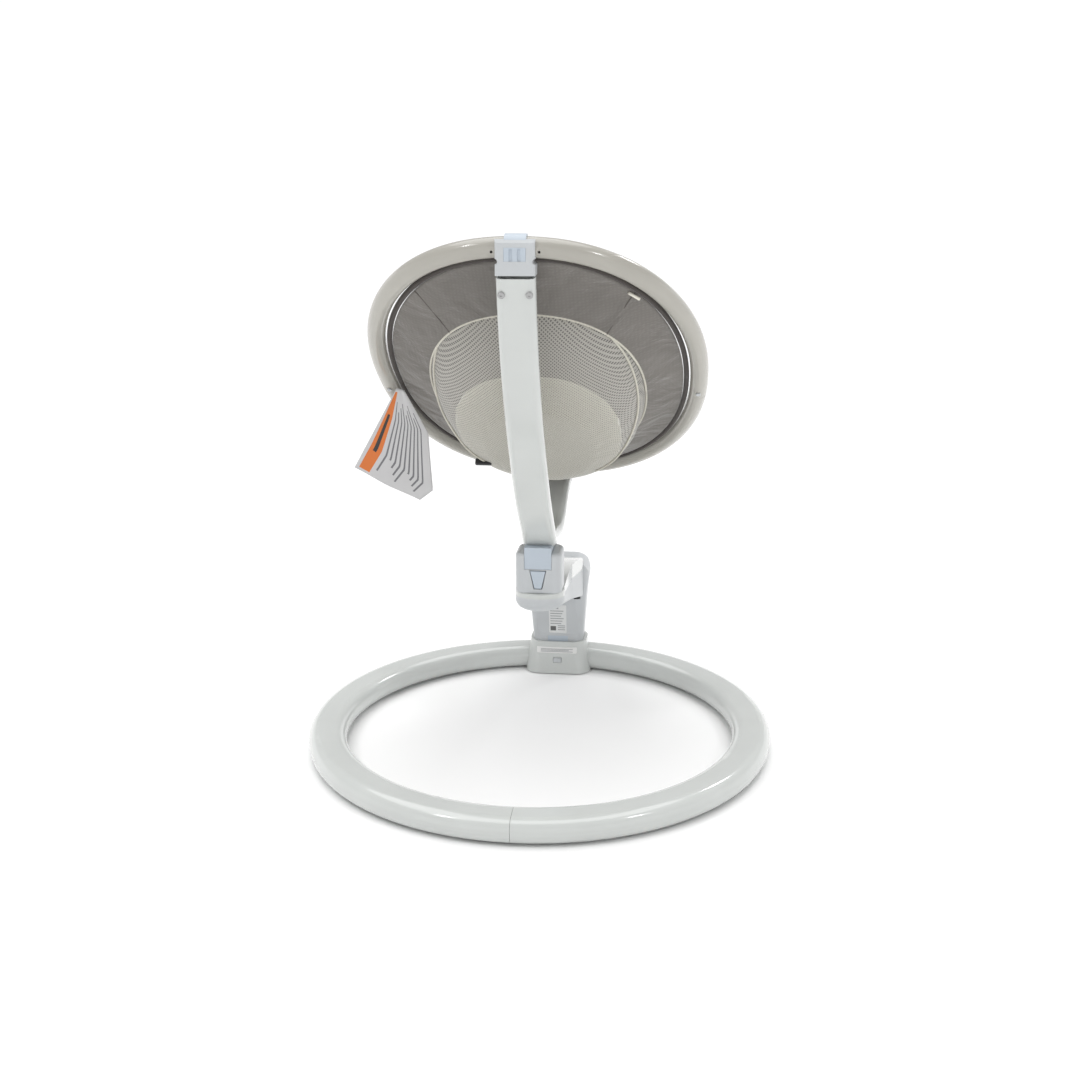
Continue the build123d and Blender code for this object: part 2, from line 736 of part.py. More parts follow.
with BuildPart() as power_jack:
    add(jack_rod(jack_radius + 1.5, column_outer_y - 11, column_outer_y - 0.6))
    add(jack_rod(jack_radius - 0.25, column_outer_y - 9, column_outer_y + 1), mode=Mode.SUBTRACT)
    add(jack_rod(0.9, column_outer_y - 9.5, column_outer_y - 2))
save(power_jack, "power_jack")


def skin_patch(outer, inner, centre_x, centre_z, width, height, back_y):
    """Thin label that follows the face between two forms."""
    with BuildPart() as patch:
        add(outer)
        add(inner, mode=Mode.SUBTRACT)
        with BuildPart(mode=Mode.PRIVATE) as window:
            with BuildSketch(Plane((centre_x, 200, centre_z), x_dir=(1, 0, 0), z_dir=(0, 1, 0))):
                RectangleRounded(width, height, 1.5)
            extrude(amount=back_y - 200)
        add(window.part, mode=Mode.INTERSECT)
    return patch


rating_label = skin_patch(column_form(label_thickness), column_outer, 0, label_centre_z,
                          label_width, label_height, column_inner_y + 5)
save(rating_label, "rating_label")

hub_sticker = skin_patch(hub_solid(label_thickness, pad_stand, hub_top_z), hub_solid(0, pad_stand, hub_top_z),
                         -1, sticker_z, sticker_width, sticker_height, hub_inner_y + 16)
save(hub_sticker, "hub_sticker")


# ============================ drive housing =================================
seam_tilt = atan2(housing_seam_slope, 1)
seam_plane = Plane((0, pivot_y, housing_seam_z), x_dir=(1, 0, 0), z_dir=(0, sin(seam_tilt), cos(seam_tilt)))
plate_low_y = pivot_y + 22
plate_high_y = 138.0
drive_radius = gear_module * drive_teeth / 2
idler_radius = gear_module * idler_teeth / 2
pinion_radius = gear_module * pinion_teeth / 2
first_idler_y = pivot_y + drive_radius + idler_radius
second_idler_y = first_idler_y + 2 * idler_radius
motor_y = second_idler_y + idler_radius + pinion_radius
lower_bearing_z = cup_bottom_z + housing_wall + 0.2
shaft_bottom_z = lower_bearing_z + 0.3


def bearing_seat(bottom, top, radius):
    """Upright disc on the turret's axis."""
    with BuildPart(mode=Mode.PRIVATE) as disc:
        with BuildSketch(Plane((0, pivot_y, bottom))):
            Circle(radius)
        extrude(amount=top - bottom)
    return disc.part


def housing_half(keep):
    """One half of the drive housing, with the shaft's opening in its roof."""
    with BuildPart() as half:
        add(housing_outer)
        add(housing_inner, mode=Mode.SUBTRACT)
        add(bearing_seat(200, 220, bearing_radius), mode=Mode.SUBTRACT)
        split(bisect_by=seam_plane, keep=keep)
    return half


pillar_places = [(-19.0, 74.0), (19.0, 74.0), (-19.0, 130.0), (19.0, 130.0)]


def pillars(radius, bottom, top):
    """Upright rods at the gear plate's screws."""
    with BuildPart(mode=Mode.PRIVATE) as rods:
        with BuildSketch(Plane.XY.offset(bottom)):
            with Locations(*pillar_places):
                Circle(radius)
        extrude(amount=top - bottom)
    return rods.part


gear_plate_bottom_z = gear_plate_top_z - gear_plate_thickness
housing_base = housing_half(Keep.BOTTOM)
with housing_base:
    with BuildPart(mode=Mode.PRIVATE) as supports:
        add(pillars(4.0, 130, gear_plate_bottom_z))
        add(bearing_seat(cup_bottom_z, lower_bearing_z + 3, bearing_radius + 2.5))
        add(housing_outer, mode=Mode.INTERSECT)
        add(pillars(1.5, 170, 200), mode=Mode.SUBTRACT)
        add(bearing_seat(lower_bearing_z, 220, bearing_radius), mode=Mode.SUBTRACT)
    add(supports.part)
save(housing_base, "housing_base")

housing_cover = housing_half(Keep.TOP)
save(housing_cover, "housing_cover")

bearing_inner_radius = shaft_radius + running


def bearing_ring(bottom, height):
    """Ball bearing, drawn as one ring around the shaft."""
    with BuildPart() as ring:
        add(bearing_seat(bottom, bottom + height, bearing_radius))
        add(bearing_seat(bottom, bottom + height, bearing_inner_radius), mode=Mode.SUBTRACT)
    return ring


lower_bearing = bearing_ring(lower_bearing_z, 3.8)
save(lower_bearing, "lower_bearing")
upper_bearing = bearing_ring(cup_top_z - bearing_height, bearing_height)
save(upper_bearing, "upper_bearing")

with BuildPart() as gear_plate:
    with BuildSketch(Plane.XY.offset(gear_plate_bottom_z)):
        with Locations((0, (plate_low_y + plate_high_y) / 2)):
            RectangleRounded(48, plate_high_y - plate_low_y, 4)
        with Locations((0, motor_y)):
            Circle(motor_shaft_radius + 0.5, mode=Mode.SUBTRACT)
        with Locations(*pillar_places):
            Circle(1.5, mode=Mode.SUBTRACT)
        with Locations((0, first_idler_y), (0, second_idler_y)):
            Circle(idler_pin_radius, mode=Mode.SUBTRACT)
    extrude(amount=gear_plate_thickness)
save(gear_plate, "gear_plate")

with BuildPart() as idler_pins:
    with BuildSketch(Plane.XY.offset(gear_plate_bottom_z)):
        with Locations((0, first_idler_y), (0, second_idler_y)):
            Circle(idler_pin_radius)
    extrude(amount=gear_bottom_z + gear_thickness + 0.8 - gear_plate_bottom_z)
save(idler_pins, "idler_pins")

with BuildPart() as plate_screws:
    add(pillars(1.5, gear_plate_bottom_z - 8, gear_plate_top_z))
    add(pillars(2.8, gear_plate_top_z, gear_plate_top_z + 1.6))
save(plate_screws, "plate_screws")

with BuildPart() as motor:
    with BuildSketch(Plane((0, motor_y, gear_plate_bottom_z - motor_length))):
        Circle(motor_radius)
    extrude(amount=motor_length)
    chamfer(motor.edges().group_by(Axis.Z)[0], 1.0)
save(motor, "motor")

half_pitch = 180.0
with BuildPart() as drive_gear:
    add(spur_gear(drive_teeth, pivot_y, 0, shaft_radius))
save(drive_gear, "drive_gear")

with BuildPart() as first_idler:
    add(spur_gear(idler_teeth, first_idler_y, half_pitch / idler_teeth, idler_pin_radius + running))
save(first_idler, "first_idler")

with BuildPart() as second_idler:
    add(spur_gear(idler_teeth, second_idler_y, 0, idler_pin_radius + running))
save(second_idler, "second_idler")

with BuildPart() as motor_pinion:
    add(spur_gear(pinion_teeth, motor_y, half_pitch / pinion_teeth, 0.01))
    with BuildSketch(Plane((0, motor_y, gear_bottom_z))):
        Circle(3)
    extrude(amount=gear_thickness)
    with BuildSketch(Plane((0, motor_y, gear_plate_bottom_z + 0.1))):
        Circle(motor_shaft_radius)
    extrude(amount=gear_thickness)
save(motor_pinion, "motor_pinion")


# ============================ turret ========================================
turret_bottom_z = cup_top_z + turret_gap
turret_face_y = pivot_y - turret_depth / 2
well_middle_y = (well_inner_y + well_outer_y) / 2
latch_back_y = turret_face_y + latch_thickness
latch_wall_y = well_inner_y - latch_wall


def latch_form(grow, back_y, reach):
    """Trapezoid prism that opens towards the turret's face."""
    with BuildPart(mode=Mode.PRIVATE) as prism:
        with BuildSketch(Plane((0, back_y, 0), x_dir=(1, 0, 0), z_dir=(0, -1, 0))):
            Polygon((-latch_top_half - grow, latch_top_z + grow), (latch_top_half + grow, latch_top_z + grow),
                    (latch_bottom_half + grow, latch_bottom_z - grow),
                    (-latch_bottom_half - grow, latch_bottom_z - grow), align=None)
        extrude(amount=reach)
    return prism.part


with BuildPart() as turret_shell:
    with BuildSketch(Plane((0, pivot_y, turret_bottom_z))):
        RectangleRounded(turret_width, turret_depth, turret_corner)
    extrude(amount=turret_top_z - turret_bottom_z)
    fillet(turret_shell.faces().sort_by(Axis.Z)[-1].edges(), 5.0)
    with BuildSketch(Plane((0, pivot_y, fork_bottom_z))):
        Rectangle(fork_width, turret_depth + 2)
    extrude(amount=40, mode=Mode.SUBTRACT)
    with BuildSketch(Plane((0, well_middle_y, well_bottom_z))):
        Rectangle(well_width, well_outer_y - well_inner_y)
    extrude(amount=40, mode=Mode.SUBTRACT)
    add(bearing_seat(200, well_bottom_z - 1.5, shaft_radius), mode=Mode.SUBTRACT)
    add(latch_form(latch_slit, latch_wall_y, 20), mode=Mode.SUBTRACT)
save(turret_shell, "turret_shell")

with BuildPart() as drive_shaft:
    add(bearing_seat(shaft_bottom_z, well_bottom_z - 1.5, shaft_radius))
save(drive_shaft, "drive_shaft")

with BuildPart() as latch_button:
    add(latch_form(0, latch_back_y, latch_thickness + 0.8))
    fillet(latch_button.faces().sort_by(Axis.Y)[0].edges(), 0.7)
save(latch_button, "latch_button")

latch_spring_start = latch_back_y + latch_travel + 0.3
latch_coil = coil((0, latch_spring_start, 226), (0, 1, 0), latch_wall_y - 0.6 - latch_spring_start, 3.0, 0.3, 3)
with BuildPart() as latch_spring:
    add(latch_coil)
save(latch_spring, "latch_spring")


# ============================ arms ==========================================
arm_meet_y = 14.0
plug_gap = 0.5
core_length = 34.0
core_width = 26.0
core_reach = 7.6        # half the core's depth, inside the hollow arm
core_steps = 4
tongue_top_z = 269.0
rear_arm_route = [(arm_meet_y, 273), (-12, 300), (-55, 343), (-97, 398), (-143, 468), (-175, 535), (-201, 632)]
foot_arm_route = [(arm_meet_y, 273), (50, 267), (90, 263), (130, 269), (172, 287), (222, 300)]


def arm_sweep(route, grow):
    """Flat oval rod along a route given in the middle plane."""
    with BuildPart(mode=Mode.PRIVATE) as rod:
        with BuildLine(side_plane(0)) as path:
            Spline(*route)
        with BuildSketch(Plane(origin=path.line @ 0, x_dir=(1, 0, 0), z_dir=path.line % 0)):
            RectangleRounded(arm_width + 2 * grow, arm_thickness + 2 * grow, arm_corner + grow)
        sweep(path=path.line)
    return rod.part


def middle_block(outline, width):
    """Prism across the middle plane from an outline of (Y, Z) points."""
    with BuildPart(mode=Mode.PRIVATE) as block:
        with BuildSketch(side_plane(-width / 2)):
            Polygon(*outline, align=None)
        extrude(amount=width)
    return block.part


def turret_space():
    """Room that the arms leave above and behind the turret."""
    with BuildPart(mode=Mode.PRIVATE) as room:
        with BuildSketch(Plane((0, pivot_y, turret_bottom_z))):
            RectangleRounded(turret_width + 4, turret_depth + 2, turret_corner)
        extrude(amount=turret_top_z + plug_gap - turret_bottom_z)
    return room.part


def tongue_form(grow, top):
    """The plug's tongue, which fills the turret's fork and reaches into the arms."""
    with BuildPart(mode=Mode.PRIVATE) as tongue:
        with BuildSketch(Plane((0, pivot_y, fork_bottom_z + slip))):
            Rectangle(fork_width - 2 * slip + 2 * grow, turret_depth - 1 + 2 * grow)
        extrude(amount=top - fork_bottom_z - slip)
    return tongue.part


def arm_tube(route, low_y, high_y):
    """Hollow arm between two planes."""
    with BuildPart() as tube:
        add(arm_sweep(route, 0))
        add(arm_sweep(route, -arm_wall), mode=Mode.SUBTRACT)
        add(turret_space(), mode=Mode.SUBTRACT)
        add(tongue_form(0, tongue_top_z), mode=Mode.SUBTRACT)
        with Locations((0, (low_y + high_y) / 2, 400)):
            Box(200, high_y - low_y, 800, mode=Mode.INTERSECT)
    return tube


rear_arm = arm_tube(rear_arm_route, -400, arm_meet_y)
foot_arm = arm_tube(foot_arm_route, arm_meet_y, 400)
save(foot_arm, "foot_arm")

def core_outline(route, side):
    """(Y, Z) outline of the plug's core inside the first stretch of an arm on one side of the meeting plane."""
    with BuildLine(side_plane(0)) as path:
        Spline(*route)
    upper = []
    lower = []
    for step in range(core_steps + 1):
        share = core_length * step / core_steps / path.edges()[0].length
        place = path.line @ share
        along = path.line % share
        upper.append((place.Y - along.Z * core_reach, place.Z + along.Y * core_reach))
        lower.append((place.Y + along.Z * core_reach, place.Z - along.Y * core_reach))
    return [(arm_meet_y + side * max(side * (y - arm_meet_y), 0), z) for y, z in upper + lower[::-1]]


with BuildPart() as arm_plug:
    add(tongue_form(0, tongue_top_z))
    for route, side in ((rear_arm_route, -1), (foot_arm_route, 1)):
        add(middle_block(core_outline(route, side), core_width))
    with BuildSketch(Plane((0, well_middle_y, well_bottom_z + 0.5))):
        Rectangle(well_width - 2 * slip, well_outer_y - well_inner_y - 2 * slip)
    extrude(amount=fork_bottom_z - well_bottom_z)
save(arm_plug, "arm_plug")


# ============================ seat hoop =====================================
joint_angle = degrees(atan2(hoop_joint_s, hoop_half_width))
gap_angle = degrees(hoop_gap / 2 / hoop_half_width)
spigot_angle = 6.0
hoop_screw_x = 26.0
tilt = radians(hoop_tilt)


def hoop_end(end):
    """Middle-plane point of the hoop's tube: -1 is the head end, +1 the foot end."""
    return (hoop_centre_y + end * hoop_half_length * cos(tilt), hoop_centre_z - end * hoop_half_length * sin(tilt))


def hoop_tube(start, stop):
    """Hollow half of the hoop, with a snap-pin hole at each end."""
    with BuildPart() as tube:
        add(hoop_sweep(start, stop, hoop_tube_radius))
        add(hoop_sweep(start, stop, hoop_tube_radius - hoop_wall), mode=Mode.SUBTRACT)
    return tube


def snap_pin_rods(radius, low, high):
    """Short rods across the hoop's tube near its joints, on the side away from the baby."""
    with BuildPart(mode=Mode.PRIVATE) as rods:
        with BuildSketch(hoop_plane(low)):
            with Locations(*[oval_point(hoop_half_width, hoop_half_length, angle) for angle in pin_angles]):
                Circle(radius)
        extrude(amount=high - low)
    return rods.part


def hoop_screw_holes():
    """Two small holes in the back of the hoop beside the head connector."""
    end_y, end_z = hoop_end(-1)
    with BuildPart(mode=Mode.PRIVATE) as rods:
        with BuildSketch(Plane((0, end_y, end_z - 5), x_dir=(1, 0, 0), z_dir=(0, -1, 0))):
            with Locations((-hoop_screw_x, 0), (hoop_screw_x, 0)):
                Circle(1.5)
        extrude(amount=20)
    return rods.part


pin_angles = [joint_angle - 3.5, 180 - joint_angle + 3.5]
pin_foot = -hoop_tube_radius - 1.6
head_hoop = hoop_tube(joint_angle - gap_angle, -180 - joint_angle + gap_angle)
with head_hoop:
    add(snap_pin_rods(snap_pin_radius, pin_foot, 0), mode=Mode.SUBTRACT)
    add(hoop_screw_holes(), mode=Mode.SUBTRACT)
save(head_hoop, "head_hoop")

foot_hoop = hoop_tube(joint_angle + gap_angle, 180 - joint_angle - gap_angle)
save(foot_hoop, "foot_hoop")

with BuildPart() as hoop_spigots:
    for middle in (joint_angle, 180 - joint_angle):
        add(hoop_sweep(middle - spigot_angle, middle + spigot_angle, hoop_tube_radius - hoop_wall - snug, count=5))
    add(snap_pin_rods(snap_pin_radius, pin_foot, 0), mode=Mode.SUBTRACT)
save(hoop_spigots, "hoop_spigots")

with BuildPart() as snap_pins:
    add(snap_pin_rods(snap_pin_radius, pin_foot, 0))
save(snap_pins, "snap_pins")


# ============================ connectors ====================================
head_y, head_z = hoop_end(-1)
foot_y, foot_z = hoop_end(1)
insert_width = 24.0
insert_thickness = 2.6


def hoop_collar(y, z, radius, width):
    """Rod along X around the hoop's tube."""
    with BuildPart(mode=Mode.PRIVATE) as rod:
        with BuildSketch(side_plane(-width / 2)):
            with Locations((y, z)):
                Circle(radius)
        extrude(amount=width)
    return rod.part


head_hoop_clear = hoop_sweep(-110, -70, hoop_tube_radius + snug, count=9)
foot_hoop_clear = hoop_sweep(70, 110, hoop_tube_radius + snug, count=9)
piping_inset = hoop_tube_radius + fabric_gap + piping_radius
piping_height = -3.0
piping_clear = hoop_sweep(-110, -70, piping_radius + 0.4, height=piping_height, inset=piping_inset, count=9)
insert_back_y = head_y - hoop_tube_radius - insert_thickness - 0.4


def insert_form(grow):
    """The snap insert: a hook over the hoop and a flat tail down its back."""
    with BuildPart(mode=Mode.PRIVATE) as insert:
        add(hoop_collar(head_y, head_z, hoop_tube_radius + insert_thickness + grow, insert_width + 2 * grow))
        add(middle_block([(head_y - 60, head_z - 40), (head_y + 8, head_z - 40), (head_y + 8, head_z + 60),
                          (head_y - 60, head_z + 60)], 60), mode=Mode.INTERSECT)
        add(middle_block([(insert_back_y - grow, head_z - 26 - grow), (insert_back_y + 2.6 + grow, head_z - 26 - grow),
                          (insert_back_y + 2.6 + grow, head_z), (insert_back_y - grow, head_z)],
                         insert_width + 2 * grow))
    return insert.part


with BuildPart() as head_connector:
    add(middle_block([(head_y - 15, head_z - 30), (head_y + 9, head_z - 30), (head_y + 12, head_z - 8),
                      (head_y + 2, head_z + 4), (head_y - 11, head_z + 9), (head_y - 14.2, head_z + 5)], arm_width))
    fillet(head_connector.edges().filter_by(GeomType.LINE).filter_by(Axis.Z, tolerance=15), 3.0)
    add(head_hoop_clear, mode=Mode.SUBTRACT)
    add(piping_clear, mode=Mode.SUBTRACT)
    add(insert_form(snug), mode=Mode.SUBTRACT)
    for side in (-1, 1):
        with BuildSketch(Plane((side * arm_width / 2, head_y - 20, head_z - 15), x_dir=(1, 0, 0), z_dir=(0, 1, 0))):
            Circle(3.0)
        extrude(amount=40, mode=Mode.SUBTRACT)
save(head_connector, "head_connector")

with BuildPart() as connector_insert:
    add(insert_form(0))
    add(hoop_sweep(-100, -80, hoop_tube_radius + 0.1, count=5), mode=Mode.SUBTRACT)
    add(piping_clear, mode=Mode.SUBTRACT)
    for side in (-1, 1):
        with BuildSketch(Plane((side * 4.5, insert_back_y - 5, head_z - 9), x_dir=(1, 0, 0), z_dir=(0, 1, 0))):
            SlotOverall(16, 3.6, rotation=90)
        extrude(amount=6.0, mode=Mode.SUBTRACT)
save(connector_insert, "connector_insert")

with BuildPart() as foot_connector:
    add(middle_block([(foot_y - 42, foot_z - 26), (foot_y - 2, foot_z - 17), (foot_y + 12, foot_z - 12),
                      (foot_y + 15.5, foot_z), (foot_y + 2, foot_z + 2), (foot_y - 14, foot_z - 2),
                      (foot_y - 42, foot_z - 8)], arm_width - 2))
    add(foot_hoop_clear, mode=Mode.SUBTRACT)
    add(arm_sweep(foot_arm_route, 0.05), mode=Mode.SUBTRACT)
save(foot_connector, "foot_connector")

with BuildLine(side_plane(0)) as rear_path:
    Spline(*rear_arm_route)
screw_spot = 1 - 17.0 / rear_path.edges()[0].length
screw_normal = Vector(1, 0, 0).cross(rear_path.line % screw_spot)
if screw_normal.Y > 0:
    screw_normal = -screw_normal
screw_face = (rear_path.line @ screw_spot) + screw_normal * (arm_thickness / 2)
arm_screw_plane = Plane(origin=screw_face, x_dir=(1, 0, 0), z_dir=screw_normal)


def arm_screw_rods(radius, start, length):
    """Rods at the two screws in the head end of the rear arm."""
    with BuildPart(mode=Mode.PRIVATE) as rods:
        with BuildSketch(arm_screw_plane.offset(start)):
            with Locations((-arm_screw_spacing / 2, 0), (arm_screw_spacing / 2, 0)):
                Circle(radius)
        extrude(amount=length)
    return rods.part


with rear_arm:
    add(arm_screw_rods(screw_radius, -arm_screw_depth, arm_screw_depth + 1), mode=Mode.SUBTRACT)
save(rear_arm, "rear_arm")

with BuildPart() as arm_screws:
    add(arm_screw_rods(screw_radius, -arm_screw_depth, arm_screw_depth))
    add(arm_screw_rods(arm_screw_head_radius, 0, 2.2))
    fillet(arm_screws.faces().sort_by(Axis.Y)[0:2].edges(), 1.2)
    add(arm_screw_rods(1.3, 1.0, 3), mode=Mode.SUBTRACT)
save(arm_screws, "arm_screws")


# ============================ soft goods ====================================
def hoop_point(toward_foot, height):
    """Middle-plane (Y, Z) of a point given along the hoop's plane and its normal."""
    return (hoop_centre_y + toward_foot * cos(tilt) + height * sin(tilt),
            hoop_centre_z - toward_foot * sin(tilt) + height * cos(tilt))


with BuildPart() as piping:
    with BuildLine(hoop_plane(piping_height)) as piping_path:
        Spline(*oval_points(hoop_half_width - piping_inset, hoop_half_length - piping_inset, 0, 345, 24),
               periodic=True)
    with BuildSketch(Plane(origin=piping_path.line @ 0, z_dir=piping_path.line % 0)):
        Circle(piping_radius)
    sweep(path=piping_path.line)
save(piping, "piping")

sling_inset = piping_inset + piping_radius + 0.5
sling_width = hoop_half_width - sling_inset
sling_length = hoop_half_length - sling_inset
pouch_shift = 5.0
sling_top = piping_height + fabric_thickness / 2


def sling_block(lift):
    """Solid under the sling's cone, lifted along the hoop's normal."""
    return oval_loft([(sling_top + lift, sling_width, sling_length, 0),
                      (-pouch_rim_depth + lift, pouch_half_width, pouch_half_length, pouch_shift)])


with BuildPart() as seat_sling:
    add(sling_block(0))
    add(sling_block(fabric_thickness), mode=Mode.SUBTRACT)
    rim_inset = 1.0
    add(oval_loft([(-pouch_rim_depth - 5, pouch_half_width - rim_inset, pouch_half_length - rim_inset, pouch_shift),
                   (5, pouch_half_width - rim_inset, pouch_half_length - rim_inset, pouch_shift)]), mode=Mode.SUBTRACT)
save(seat_sling, "seat_sling")

pouch_levels = [(0.0, 1.0, 0.0), (0.42, 0.93, 14.0), (0.8, 0.76, 30.0), (1.0, 0.5, 44.0)]


def pouch_block(shrink):
    """The pouch's bulge: each level has its share of the depth and of the rim, and leans to the foot."""
    reach = pouch_depth - pouch_rim_depth - shrink
    return oval_loft([(-pouch_rim_depth - 0.1 - reach * deep, pouch_half_width * share - shrink,
                       pouch_half_length * share - shrink, pouch_shift + lean)
                      for deep, share, lean in pouch_levels])


with BuildPart() as mesh_pouch:
    add(pouch_block(0))
    add(pouch_block(fabric_thickness), mode=Mode.SUBTRACT)
save(mesh_pouch, "mesh_pouch")

liner_top = -58.0
with BuildPart() as pouch_liner:
    add(pouch_block(fabric_thickness + 0.4))
    add(pouch_block(2 * fabric_thickness), mode=Mode.SUBTRACT)
    split(bisect_by=hoop_plane(liner_top), keep=Keep.BOTTOM)
save(pouch_liner, "pouch_liner")

buckle_foot = 30.0
buckle_height = -34.0
buckle_thickness = 12.0
with BuildPart() as buckle:
    with BuildSketch(hoop_plane(buckle_height)):
        with Locations((0, buckle_foot)):
            RectangleRounded(38, 44, 8)
    extrude(amount=buckle_thickness)
    fillet(buckle.faces().sort_by(Axis.Z)[-1].edges(), 3.0)
save(buckle, "buckle")

strap_root = 70.0
strap_root_height = -pouch_depth + 2 * fabric_thickness + 1.0
with BuildPart() as crotch_strap:
    add(middle_block([hoop_point(strap_root, strap_root_height), hoop_point(strap_root + 2, strap_root_height),
                      hoop_point(buckle_foot + 20, buckle_height - 1), hoop_point(buckle_foot - 10, buckle_height - 1),
                      hoop_point(buckle_foot - 10, buckle_height - 2.6),
                      hoop_point(buckle_foot + 18, buckle_height - 2.6)], strap_width))
save(crotch_strap, "crotch_strap")

strap_plane = Plane(origin=hoop_plane(0).from_local_coords((0, buckle_foot + strap_width / 2, 0)),
                    x_dir=(1, 0, 0), z_dir=(0, -cos(tilt), sin(tilt)))
with BuildPart() as waist_straps:
    with BuildSketch(strap_plane):
        for side in (-1, 1):
            Polygon((side * 19.3, buckle_height + 5), (side * 112, buckle_height - 9),
                    (side * 112, buckle_height - 9 + strap_thickness),
                    (side * 19.3, buckle_height + 5 + strap_thickness), align=None)
    extrude(amount=strap_width)
save(waist_straps, "waist_straps")

tag_y = 31.0
tag_thickness = 0.8
with BuildPart() as care_tag:
    with BuildSketch(Plane((0, tag_y, 0), x_dir=(1, 0, 0), z_dir=(0, -1, 0))):
        Polygon((-186, 466), (-176, 464), (-146, 408), (-142, 332), (-160, 318), (-246, 360), align=None)
    extrude(amount=tag_thickness)
save(care_tag, "care_tag")
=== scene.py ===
"""Looks of the baby swing: materials for every moulded part, and the cloth, mesh and straps of the seat."""
import json
import math

import bpy
from mathutils import Matrix, Vector, noise


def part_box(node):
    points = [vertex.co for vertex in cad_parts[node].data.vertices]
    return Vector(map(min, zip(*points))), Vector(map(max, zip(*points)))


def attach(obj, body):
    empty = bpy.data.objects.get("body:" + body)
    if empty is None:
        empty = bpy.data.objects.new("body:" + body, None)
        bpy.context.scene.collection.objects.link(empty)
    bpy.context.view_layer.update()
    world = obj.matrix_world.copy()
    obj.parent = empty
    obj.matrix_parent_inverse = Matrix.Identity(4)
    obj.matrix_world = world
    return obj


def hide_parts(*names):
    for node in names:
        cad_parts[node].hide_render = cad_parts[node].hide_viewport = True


MM = 0.001
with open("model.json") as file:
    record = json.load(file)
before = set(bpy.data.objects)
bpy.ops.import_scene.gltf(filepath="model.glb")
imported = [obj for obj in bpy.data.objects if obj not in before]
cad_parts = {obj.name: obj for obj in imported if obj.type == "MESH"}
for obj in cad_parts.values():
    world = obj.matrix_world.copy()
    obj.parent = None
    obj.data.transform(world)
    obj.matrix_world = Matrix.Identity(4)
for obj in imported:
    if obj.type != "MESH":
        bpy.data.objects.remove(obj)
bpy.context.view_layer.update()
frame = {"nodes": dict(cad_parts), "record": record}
nodes = frame["nodes"]


# ---------------------------------------------------------------- camera
# The head end of the swing faces the camera, which stands a little to its right and looks down.
CAMERA_PLACE = (0.2016, -1.7524, 0.7913)
CAMERA_DOWN = 16.25
CAMERA_TURN = 6.5
CAMERA_ROLL = -0.28
CAMERA_LENS = 47.6

camera_data = bpy.data.cameras.new("view_camera")
camera_data.lens = CAMERA_LENS
camera_data.sensor_width = 36
camera = bpy.data.objects.new("view_camera", camera_data)
bpy.context.scene.collection.objects.link(camera)
camera.location = CAMERA_PLACE
look = Matrix.Rotation(math.radians(CAMERA_TURN), 4, "Z")
look = look @ Matrix.Rotation(math.radians(90 - CAMERA_DOWN), 4, "X")
look = look @ Matrix.Rotation(math.radians(CAMERA_ROLL), 4, "Z")
camera.rotation_euler = look.to_euler()
bpy.context.scene.camera = camera


# ---------------------------------------------------------------- floor and light
def area_light(name, place, target, size, power):
    data = bpy.data.lights.new(name, "AREA")
    data.shape = "DISK"
    data.size = size
    data.energy = power
    lamp = bpy.data.objects.new(name, data)
    lamp.location = place
    lamp.rotation_euler = (Vector(target) - Vector(place)).to_track_quat("-Z", "Y").to_euler()
    bpy.context.scene.collection.objects.link(lamp)


def make_floor():
    """White studio floor that rises gently all round, so no horizon shows."""
    rings = ((2.6, 0.0), (3.2, 0.04), (4.2, 0.2), (6.0, 0.65), (10.0, 1.95), (16.0, 4.1))
    sides = 96
    points = [(0, 0, 0)]
    faces = []
    for number, (radius, height) in enumerate(rings):
        for k in range(sides):
            turn = 2 * math.pi * k / sides
            points.append((radius * math.cos(turn), radius * math.sin(turn), height))
        for k in range(sides):
            here = 1 + number * sides + k
            following = 1 + number * sides + (k + 1) % sides
            if number:
                faces.append((here - sides, here, following, following - sides))
            else:
                faces.append((0, here, following))
    data = bpy.data.meshes.new("floor")
    data.from_pydata(points, [], faces)
    data.polygons.foreach_set("use_smooth", [True] * len(data.polygons))
    floor = bpy.data.objects.new("floor", data)
    bpy.context.scene.collection.objects.link(floor)
    material = bpy.data.materials.new("floor_paint")
    material.use_nodes = True
    shader = material.node_tree.nodes["Principled BSDF"]
    shader.inputs["Base Color"].default_value = (0.93, 0.93, 0.93, 1)
    shader.inputs["Roughness"].default_value = 0.9
    shader.inputs["Specular IOR Level"].default_value = 0.1
    data.materials.append(material)


world = bpy.data.worlds.new("studio")
world.use_nodes = True
world.node_tree.nodes["Background"].inputs[0].default_value = (1.0, 1.0, 1.0, 1)
world.node_tree.nodes["Background"].inputs[1].default_value = 0.50
bpy.context.scene.world = world
bpy.context.scene.view_settings.view_transform = "Standard"
sky_data = bpy.data.lights.new("sky", "SUN")
sky_data.energy = 2.1
sky_data.angle = math.radians(70)
sky = bpy.data.objects.new("sky", sky_data)
sky.rotation_euler = (math.radians(-8), math.radians(-6), 0)
bpy.context.scene.collection.objects.link(sky)
area_light("key", (-1.4, -1.2, 2.2), (0, 0, 0.35), 0.35, 7)
area_light("side", (1.6, -1.0, 1.8), (0, 0, 0.35), 0.3, 5)
area_light("rim", (1.2, 1.6, 1.9), (0, 0, 0.3), 0.4, 6)
make_floor()


# ---------------------------------------------------------------- materials
def new_material(name):
    material = bpy.data.materials.new(name)
    material.use_nodes = True
    return material, material.node_tree, material.node_tree.nodes["Principled BSDF"]


def add_node(tree, kind, **settings):
    node = tree.nodes.new(kind)
    for key, value in settings.items():
        if key in node.inputs.keys():
            node.inputs[key].default_value = value
        else:
            setattr(node, key, value)
    return node


